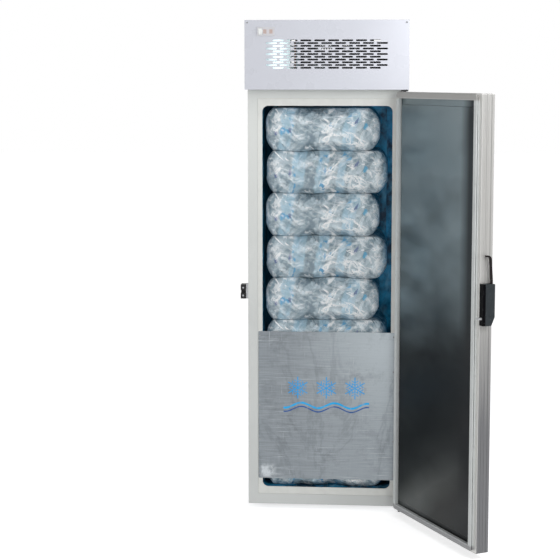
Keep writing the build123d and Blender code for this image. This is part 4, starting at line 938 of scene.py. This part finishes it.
def iceFilm(name):
    material = startMaterial(name, 0.32, coat=0.6)
    put("Coat Roughness", filmSettings["coatRoughness"])
    put("Coat IOR", filmSettings["coatIor"])
    # the place that the film had on its sack before it crumpled, and the kind of sack
    where = addNode("ShaderNodeAttribute", attribute_name="filmPlace").outputs["Vector"]
    kind = addNode("ShaderNodeAttribute", attribute_name="filmKind").outputs["Fac"]
    bent = drifted(where, where, filmSettings["sway"])
    ragged = drifted(bent, where, filmSettings["jitter"])
    facets = []
    for setting in filmSettings["facets"]:
        facet = scaled(ragged, setting["stretch"], setting["turn"])
        facets.append(shardsOf(facet, setting["scale"]))
    chips = shardsOf(ragged, filmSettings["chips"]["scale"])
    depth = noiseOf(bent, filmSettings["depth"]["scale"], 2.5, 0.5, 0.9)
    weights = [setting["weight"] for setting in filmSettings["facets"]]
    level = plus(*(times(facet, weight) for facet, weight in zip(facets, weights)))
    level = plus(level, times(chips, filmSettings["chips"]["weight"]))
    level = plus(level, times(depth, filmSettings["depth"]["weight"]))
    tone = blend(rangeOf(level, *filmSettings["iceLevels"]), filmSettings["ice"])
    folds = []
    for stretch, turn in filmSettings["folds"]:
        folds.append(creasesOf(scaled(bent, stretch, turn), filmSettings["foldScale"], 5.0, 0.6, 0.6))
    folds = largest(folds)
    setting = filmSettings["shadow"]
    shadow = times(rangeOf(folds, *setting["folds"]), rangeOf(depth, *setting["depth"]))
    tone = glaze(tone, shadow, setting)
    bright = glintsOf(where, bent, facets, chips, folds, depth)
    tone = printFilm(tone, bent, kind)
    # the glints are painted in white
    setting = filmSettings["white"]
    tone = glaze(tone, bright, setting)
    put("Base Color", tone)
    setting = filmSettings["crinkles"]
    run = scaled(bent, setting["stretch"], setting["turn"])
    crinkles = creasesOf(run, setting["scale"], 4.0)
    normal = None
    for height, key in ((folds, "folds"), (level, "level"), (crinkles, "crinkles")):
        normal = bumpOf(height, *filmSettings["bumps"][key], normal)
    put("Normal", normal)
    put("Coat Normal", normal)
    return material


# Liner of the cabinet: deep blue behind the ice, with soft upright runs of painted glints in patches
cabinetLinerSettings = {
    "specular": 0.25,
    "mottle": {"scale": 13.0, "levels": (0.40, 0.62)},
    "blues": ((0.002, 0.030, 0.066), (0.022, 0.225, 0.40)),
    "runs": {"stretch": (1.0, 1.0, 0.35), "turn": 0.25, "scale": 26.0, "levels": (0.50, 0.72)},
    "patches": {"scale": 5.0, "levels": (0.48, 0.62)},
    "paintedGlints": {"share": 0.6, "colour": (0.22, 0.46, 0.62)},
    "glow": {"across": (-0.10, 0.22, 0.10, 1.0), "up": (0.20, 0.90, 0.0, 0.24)},
    "bump": (0.002, 0.6),
}


def glowingLiner(name):
    material = startMaterial(name, 0.22)
    put("Specular IOR Level", cabinetLinerSettings["specular"])
    where = points()
    tone = blend(cloudsOf(where, cabinetLinerSettings["mottle"], 4.0, 0.6), cabinetLinerSettings["blues"])
    # painted glints in soft upright runs, in patches
    paintedGlints = times(streaksOf(where, cabinetLinerSettings["runs"], 3.0), cloudsOf(where, cabinetLinerSettings["patches"]))
    tone = glaze(tone, paintedGlints, cabinetLinerSettings["paintedGlints"])
    put("Base Color", tone)
    # a faint glow stands for the light that the ice passes on to the wall
    put("Emission Color", tone)
    inner = rangeOf(axisOf(where, 0), *cabinetLinerSettings["glow"]["across"])
    upper = rangeOf(axisOf(where, 2), *cabinetLinerSettings["glow"]["up"])
    put("Emission Strength", times(inner, upper))
    put("Normal", bumpOf(paintedGlints, *cabinetLinerSettings["bump"]))
    return material


# Pale box behind the left slots, with a painted glow that is brightest in its middle
coverSettings = {
    "mottle": 9.0,
    "colours": ((0.62, 0.84, 0.86), (0.90, 0.95, 0.95)),
    "middle": {"x": -0.205, "half": 0.026, "soft": 0.022},
    "glow": (0.20, 0.85),
    "grain": {"scale": 700.0, "depth": 0.0002, "strength": 0.4},
}


def paleCover(name):
    material = startMaterial(name, 0.4)
    where = points()
    tone = blend(noiseOf(where, coverSettings["mottle"], 4.0), coverSettings["colours"])
    put("Base Color", tone)
    # painted glow, brightest in the middle
    put("Emission Color", tone)
    setting = coverSettings["middle"]
    middle = bandOf(axisOf(where, 0), setting["x"], setting["half"], setting["soft"])
    put("Emission Strength", rangeOf(middle, 0.0, 1.0, *coverSettings["glow"]))
    setting = coverSettings["grain"]
    relief(cellsOf(where, setting["scale"]), setting)
    return material


# Lens of the controller, with two reddish windows
lensSettings = {
    "windows": ((-0.2665, -0.2525), (-0.2400, -0.2270)),
    "heights": (2.0635, 2.0805),
    "pale": (0.62, 0.60, 0.63),
    "dark": ((0.44, 0.32, 0.29), (0.58, 0.46, 0.42)),
    "haze": {"scale": 300.0, "depth": 0.0001, "strength": 0.2},
}


def between(value, low, high):
    above = mathOf("GREATER_THAN", value, low)
    return times(above, mathOf("LESS_THAN", value, high))


def displayLens(name):
    material = startMaterial(name, 0.12, coat=0.5)
    where = points()
    acrossX = axisOf(where, 0)
    upZ = axisOf(where, 2)
    windows = largest([between(acrossX, *window) for window in lensSettings["windows"]])
    windows = times(windows, between(upZ, *lensSettings["heights"]))
    setting = lensSettings["haze"]
    haze = noiseOf(where, setting["scale"], 2.0)
    dark = blend(haze, lensSettings["dark"])
    put("Base Color", mixOf(windows, shade(lensSettings["pale"]), dark))
    relief(haze, setting)
    return material


# One finish for each slot of the record, and a few pieces with a finish of their own
finishes = {
    "white_lacquer": lacqueredSheet("whiteLacquer", (0.600, 0.615, 0.675)),
    "frame_paint": lacqueredSheet("framePaint", (0.725, 0.745, 0.725), 0.36, 0.1, 0.16, low=0.92),
    "breaker_plastic": mouldedPlastic("breakerPlastic", (0.76, 0.77, 0.74), 0.38, 900.0, 0.0001, 0.08),
    "galvanised": brushedMetal("galvanisedSheet", (0.48, 0.50, 0.52), 0.38),
    "dark_stainless": doorLinerSheet("doorLinerSheet"),
    "profile_paint": doorProfile("profilePaint", (0.52, 0.515, 0.50)),
    "foam": foamCore("foamCore", (0.75, 0.68, 0.45)),
    "gasket_grey": doorGasket("gasketRubber", (0.66, 0.685, 0.68)),
    "black_plastic": mouldedPlastic("blackPlastic", (0.022, 0.022, 0.024), 0.42),
    "black_metal": lacqueredSheet("blackPaint", (0.025, 0.025, 0.028), 0.4, 0.0, 0.3),
    "screw_steel": brushedMetal("screwSteel", (0.30, 0.31, 0.32), 0.34, (1.0, 1.0, 1.0)),
    "liner_coat": glowingLiner("linerCoat"),
    "bracket_aluminium": brushedMetal("bracketAluminium", (0.36, 0.37, 0.38), 0.4),
    "controller_plastic": mouldedPlastic("controllerPlastic", (0.60, 0.60, 0.63), 0.35, 900.0, 0.0001, 0.06),
    "display_lens": displayLens("displayLens"),
    "rocker_white": mouldedPlastic("rockerWhite", (0.88, 0.90, 0.89), 0.22, 900.0, 0.0001, 0.04),
    "fin_aluminium": brushedMetal("finAluminium", (0.10, 0.105, 0.11), 0.5, (40.0, 1.0, 1.0)),
    "copper": brushedMetal("copperPipe", (0.30, 0.16, 0.10), 0.45, (3.0, 3.0, 3.0)),
    "compressor_black": lacqueredSheet("compressorPaint", (0.018, 0.018, 0.018), 0.25, 0.3, 0.3),
    "foot_rubber": softRubber("footRubber", (0.02, 0.02, 0.02), 0.8),
    "box_grey": paleCover("boxCover"),
    "drain_plastic": mouldedPlastic("drainPlastic", (0.60, 0.61, 0.61), 0.4),
    "nylon": mouldedPlastic("nylonBush", (0.75, 0.75, 0.70), 0.4),
    "ice_film": iceFilm("iceFilm"),
}
ownFinish = {
    "guard_plate": guardSheet("guardSheet"),
    "door_skin": doorOuterSheet("doorOuterSheet", (0.71, 0.735, 0.79)),
    # painted shade: a darker, duller copy of the white lacquer on the top, which the top lamp lights most
    "top_cover": lacqueredSheet("topLacquerShaded", (0.52, 0.535, 0.59), 0.8, 0.0),
    "latch_housing": slotShadowHousing("latchHousing"),
    "handle_lever": mouldedPlastic("leverPlastic", (0.010, 0.006, 0.007), 0.35),
    "latch_tongue": brushedMetal("tongueZinc", (0.42, 0.43, 0.44), 0.5),
    "evaporator_cover": finishes["liner_coat"],
}
darkPlasticSpecular = 0.2
for plastic in (finishes["black_plastic"], ownFinish["handle_lever"]):
    plastic.node_tree.nodes["Principled BSDF"].inputs["Specular IOR Level"].default_value = darkPlasticSpecular


def dressNodes():
    slots = {part["node"]: part["material_slot"] for part in frame["record"]["subparts"]}
    for name, piece in frame["nodes"].items():
        material = ownFinish.get(name, finishes[slots[name]])
        for materialSlot in piece.material_slots:
            materialSlot.material = material
        if not piece.material_slots:
            piece.data.materials.append(material)


# Sacks of ice: pillows of film, lumpy with cubes and wrinkled where the film is slack
sackSettings = {
    "count": 9,
    "voxel": 0.007,
    "round": 0.050,
    "roundShare": 0.46,
    "segments": 8,
    "curve": 2.6,
    "thinnest": 0.3,
    "lump": {"scales": (9.0, 24.0), "inset": 0.008, "height": 0.009},
    "pressure": 2.5,
    "slack": -0.10,
    "mass": 0.15,
    "stiffness": 12.0,
    "bending": 0.15,
    "quality": 5,
    "frames": 16,
    "cap": 0.012,
    "printDown": 0.09,
    "wave": {"height": 0.006, "across": 6.0, "deep": 5.0, "level": 3.7},
    "kinds": {
        "A": {"left": 0.003, "right": 0.026, "leftRound": 0.055, "rightRound": 0.095, "seed": 3.0},
        "B": {"left": 0.006, "right": -0.008, "leftRound": 0.050, "rightRound": 0.085, "seed": 11.0},
    },
    "order": {1: "B", 2: "A", 3: "B", 4: "B", 5: "A", 6: "B", 7: "A", 8: "B", 9: "A"},
}


def applyModifier(piece, name):
    pick(piece)
    bpy.ops.object.modifier_apply(modifier=name)


def pillow(name, low, high, kind):
    size = high - low
    left = low.x + kind["left"]
    right = high.x - kind["right"]
    centre = Vector(((left + right) / 2, (low.y + high.y) / 2, (low.z + high.z) / 2))
    deselectAll()
    bpy.ops.mesh.primitive_cube_add(size=1.0, location=centre)
    sack = bpy.context.object
    sack.name = name
    sack.scale = (right - left, size.y, size.z)
    bpy.ops.object.transform_apply(location=True, rotation=True, scale=True)
    bevel = sack.modifiers.new("roundEnds", "BEVEL")
    bevel.width = min(sackSettings["round"], size.z * sackSettings["roundShare"])
    bevel.segments = sackSettings["segments"]
    bevel.limit_method = "NONE"
    applyModifier(sack, "roundEnds")
    remesh = sack.modifiers.new("evenFilm", "REMESH")
    remesh.mode = "VOXEL"
    remesh.voxel_size = sackSettings["voxel"]
    applyModifier(sack, "evenFilm")
    # the film rounds off at its gathered ends, and the cubes push it out in lumps
    half = Vector(((right - left) / 2, size.y / 2, size.z / 2))
    seed = Vector((kind["seed"], kind["seed"] * 0.7, kind["seed"] * 1.3))
    curve = sackSettings["curve"]
    coarse, fine = sackSettings["lump"]["scales"]
    for vertex in sack.data.vertices:
        offset = vertex.co - centre
        roundness = kind["rightRound"] if offset.x > 0 else kind["leftRound"]
        inward = min(1.0, max(0.0, (half.x - abs(offset.x)) / roundness))
        offset.z *= max(sackSettings["thinnest"], (1.0 - (1.0 - inward) ** curve) ** (1 / curve))
        offset.y *= 1.0 - 0.08 * (1.0 - inward) ** 2
        lump = noise.noise((vertex.co + seed) * coarse) + 0.5 * noise.noise((vertex.co - seed) * fine)
        lump = sackSettings["lump"]["inset"] + sackSettings["lump"]["height"] * lump
        facing = Vector((offset.x / half.x, offset.y / half.y, 0.0))
        offset -= Vector((facing.x**5 * 0.5, facing.y**5, 0.0)) * lump
        vertex.co = centre + offset
    return sack, centre, half


# Each point keeps its place on the uncrumpled film, which the material's folds and print follow
def markFilm(sack, centre, kindName):
    middle = Vector((0.0, 0.0, centre.z - sackSettings["printDown"]))
    places = [value for vertex in sack.data.vertices for value in (vertex.co - middle)]
    kinds = [0.0 if kindName == "A" else 1.0] * len(sack.data.vertices)
    sack.data.attributes.new("filmPlace", "FLOAT_VECTOR", "POINT")
    sack.data.attributes["filmPlace"].data.foreach_set("vector", places)
    sack.data.attributes.new("filmKind", "FLOAT", "POINT")
    sack.data.attributes["filmKind"].data.foreach_set("value", kinds)


# The slack film crumples under a little pressure, and no point moves further than the cap
def crumple(sack, centre, half):
    start = [vertex.co.copy() for vertex in sack.data.vertices]
    pick(sack)
    cloth = sack.modifiers.new("film", "CLOTH")
    settings = cloth.settings
    settings.effector_weights.gravity = 0.0
    settings.use_pressure = True
    settings.uniform_pressure_force = sackSettings["pressure"]
    settings.shrink_min = sackSettings["slack"]
    settings.quality = sackSettings["quality"]
    settings.mass = sackSettings["mass"]
    settings.tension_stiffness = sackSettings["stiffness"]
    settings.compression_stiffness = sackSettings["stiffness"]
    settings.bending_stiffness = sackSettings["bending"]
    scene = bpy.context.scene
    for frameNumber in range(1, sackSettings["frames"] + 1):
        scene.frame_set(frameNumber)
    applyModifier(sack, "film")
    scene.frame_set(1)
    cap = sackSettings["cap"]
    for vertex, home in zip(sack.data.vertices, start):
        move = vertex.co - home
        if move.length > cap:
            move = move.normalized() * cap
        vertex.co = home + move
        for axis in range(3):
            limit = half[axis]
            offset = vertex.co[axis] - centre[axis]
            vertex.co[axis] = centre[axis] + max(-limit, min(limit, offset))


def waveAt(x, y, level):
    wave = sackSettings["wave"]
    return wave["height"] * noise.noise(Vector((x * wave["across"], y * wave["deep"], level * wave["level"])))


def buildSacks():
    made = {}
    count = sackSettings["count"]
    for number in range(1, count + 1):
        node = f"ice_sack_{number}"
        low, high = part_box(node)
        kindName = sackSettings["order"][number]
        if kindName not in made:
            sack, centre, half = pillow(f"iceSource{kindName}", low, high, sackSettings["kinds"][kindName])
            markFilm(sack, centre, kindName)
            crumple(sack, centre, half)
            made[kindName] = (sack.data.copy(), low.copy())
            bpy.data.objects.remove(sack)
        source, sourceLow = made[kindName]
        sack = bpy.data.objects.new(f"iceSack{number}", source.copy())
        bpy.context.collection.objects.link(sack)
        # neighbours share the wavy line where they press on each other
        for vertex in sack.data.vertices:
            share = (vertex.co.z - sourceLow.z) / (high.z - low.z)
            down = waveAt(vertex.co.x, vertex.co.y, number) if number > 1 else 0.0
            up = waveAt(vertex.co.x, vertex.co.y, number + 1) if number < count else 0.0
            vertex.co.z += low.z - sourceLow.z + down * (1.0 - share) + up * share
        pick(sack)
        bpy.ops.object.shade_smooth()
        sack.data.materials.clear()
        sack.data.materials.append(finishes["ice_film"])
        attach(sack, "cabinet")
        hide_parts(node)
    print("stage: sacks", {kind: len(mesh[0].vertices) for kind, mesh in made.items()})


buildView()
buildLamps()
buildWorld()
buildFloor()
dressNodes()
print("stage: finishes on")
buildSacks()
print("stage: sacks in")
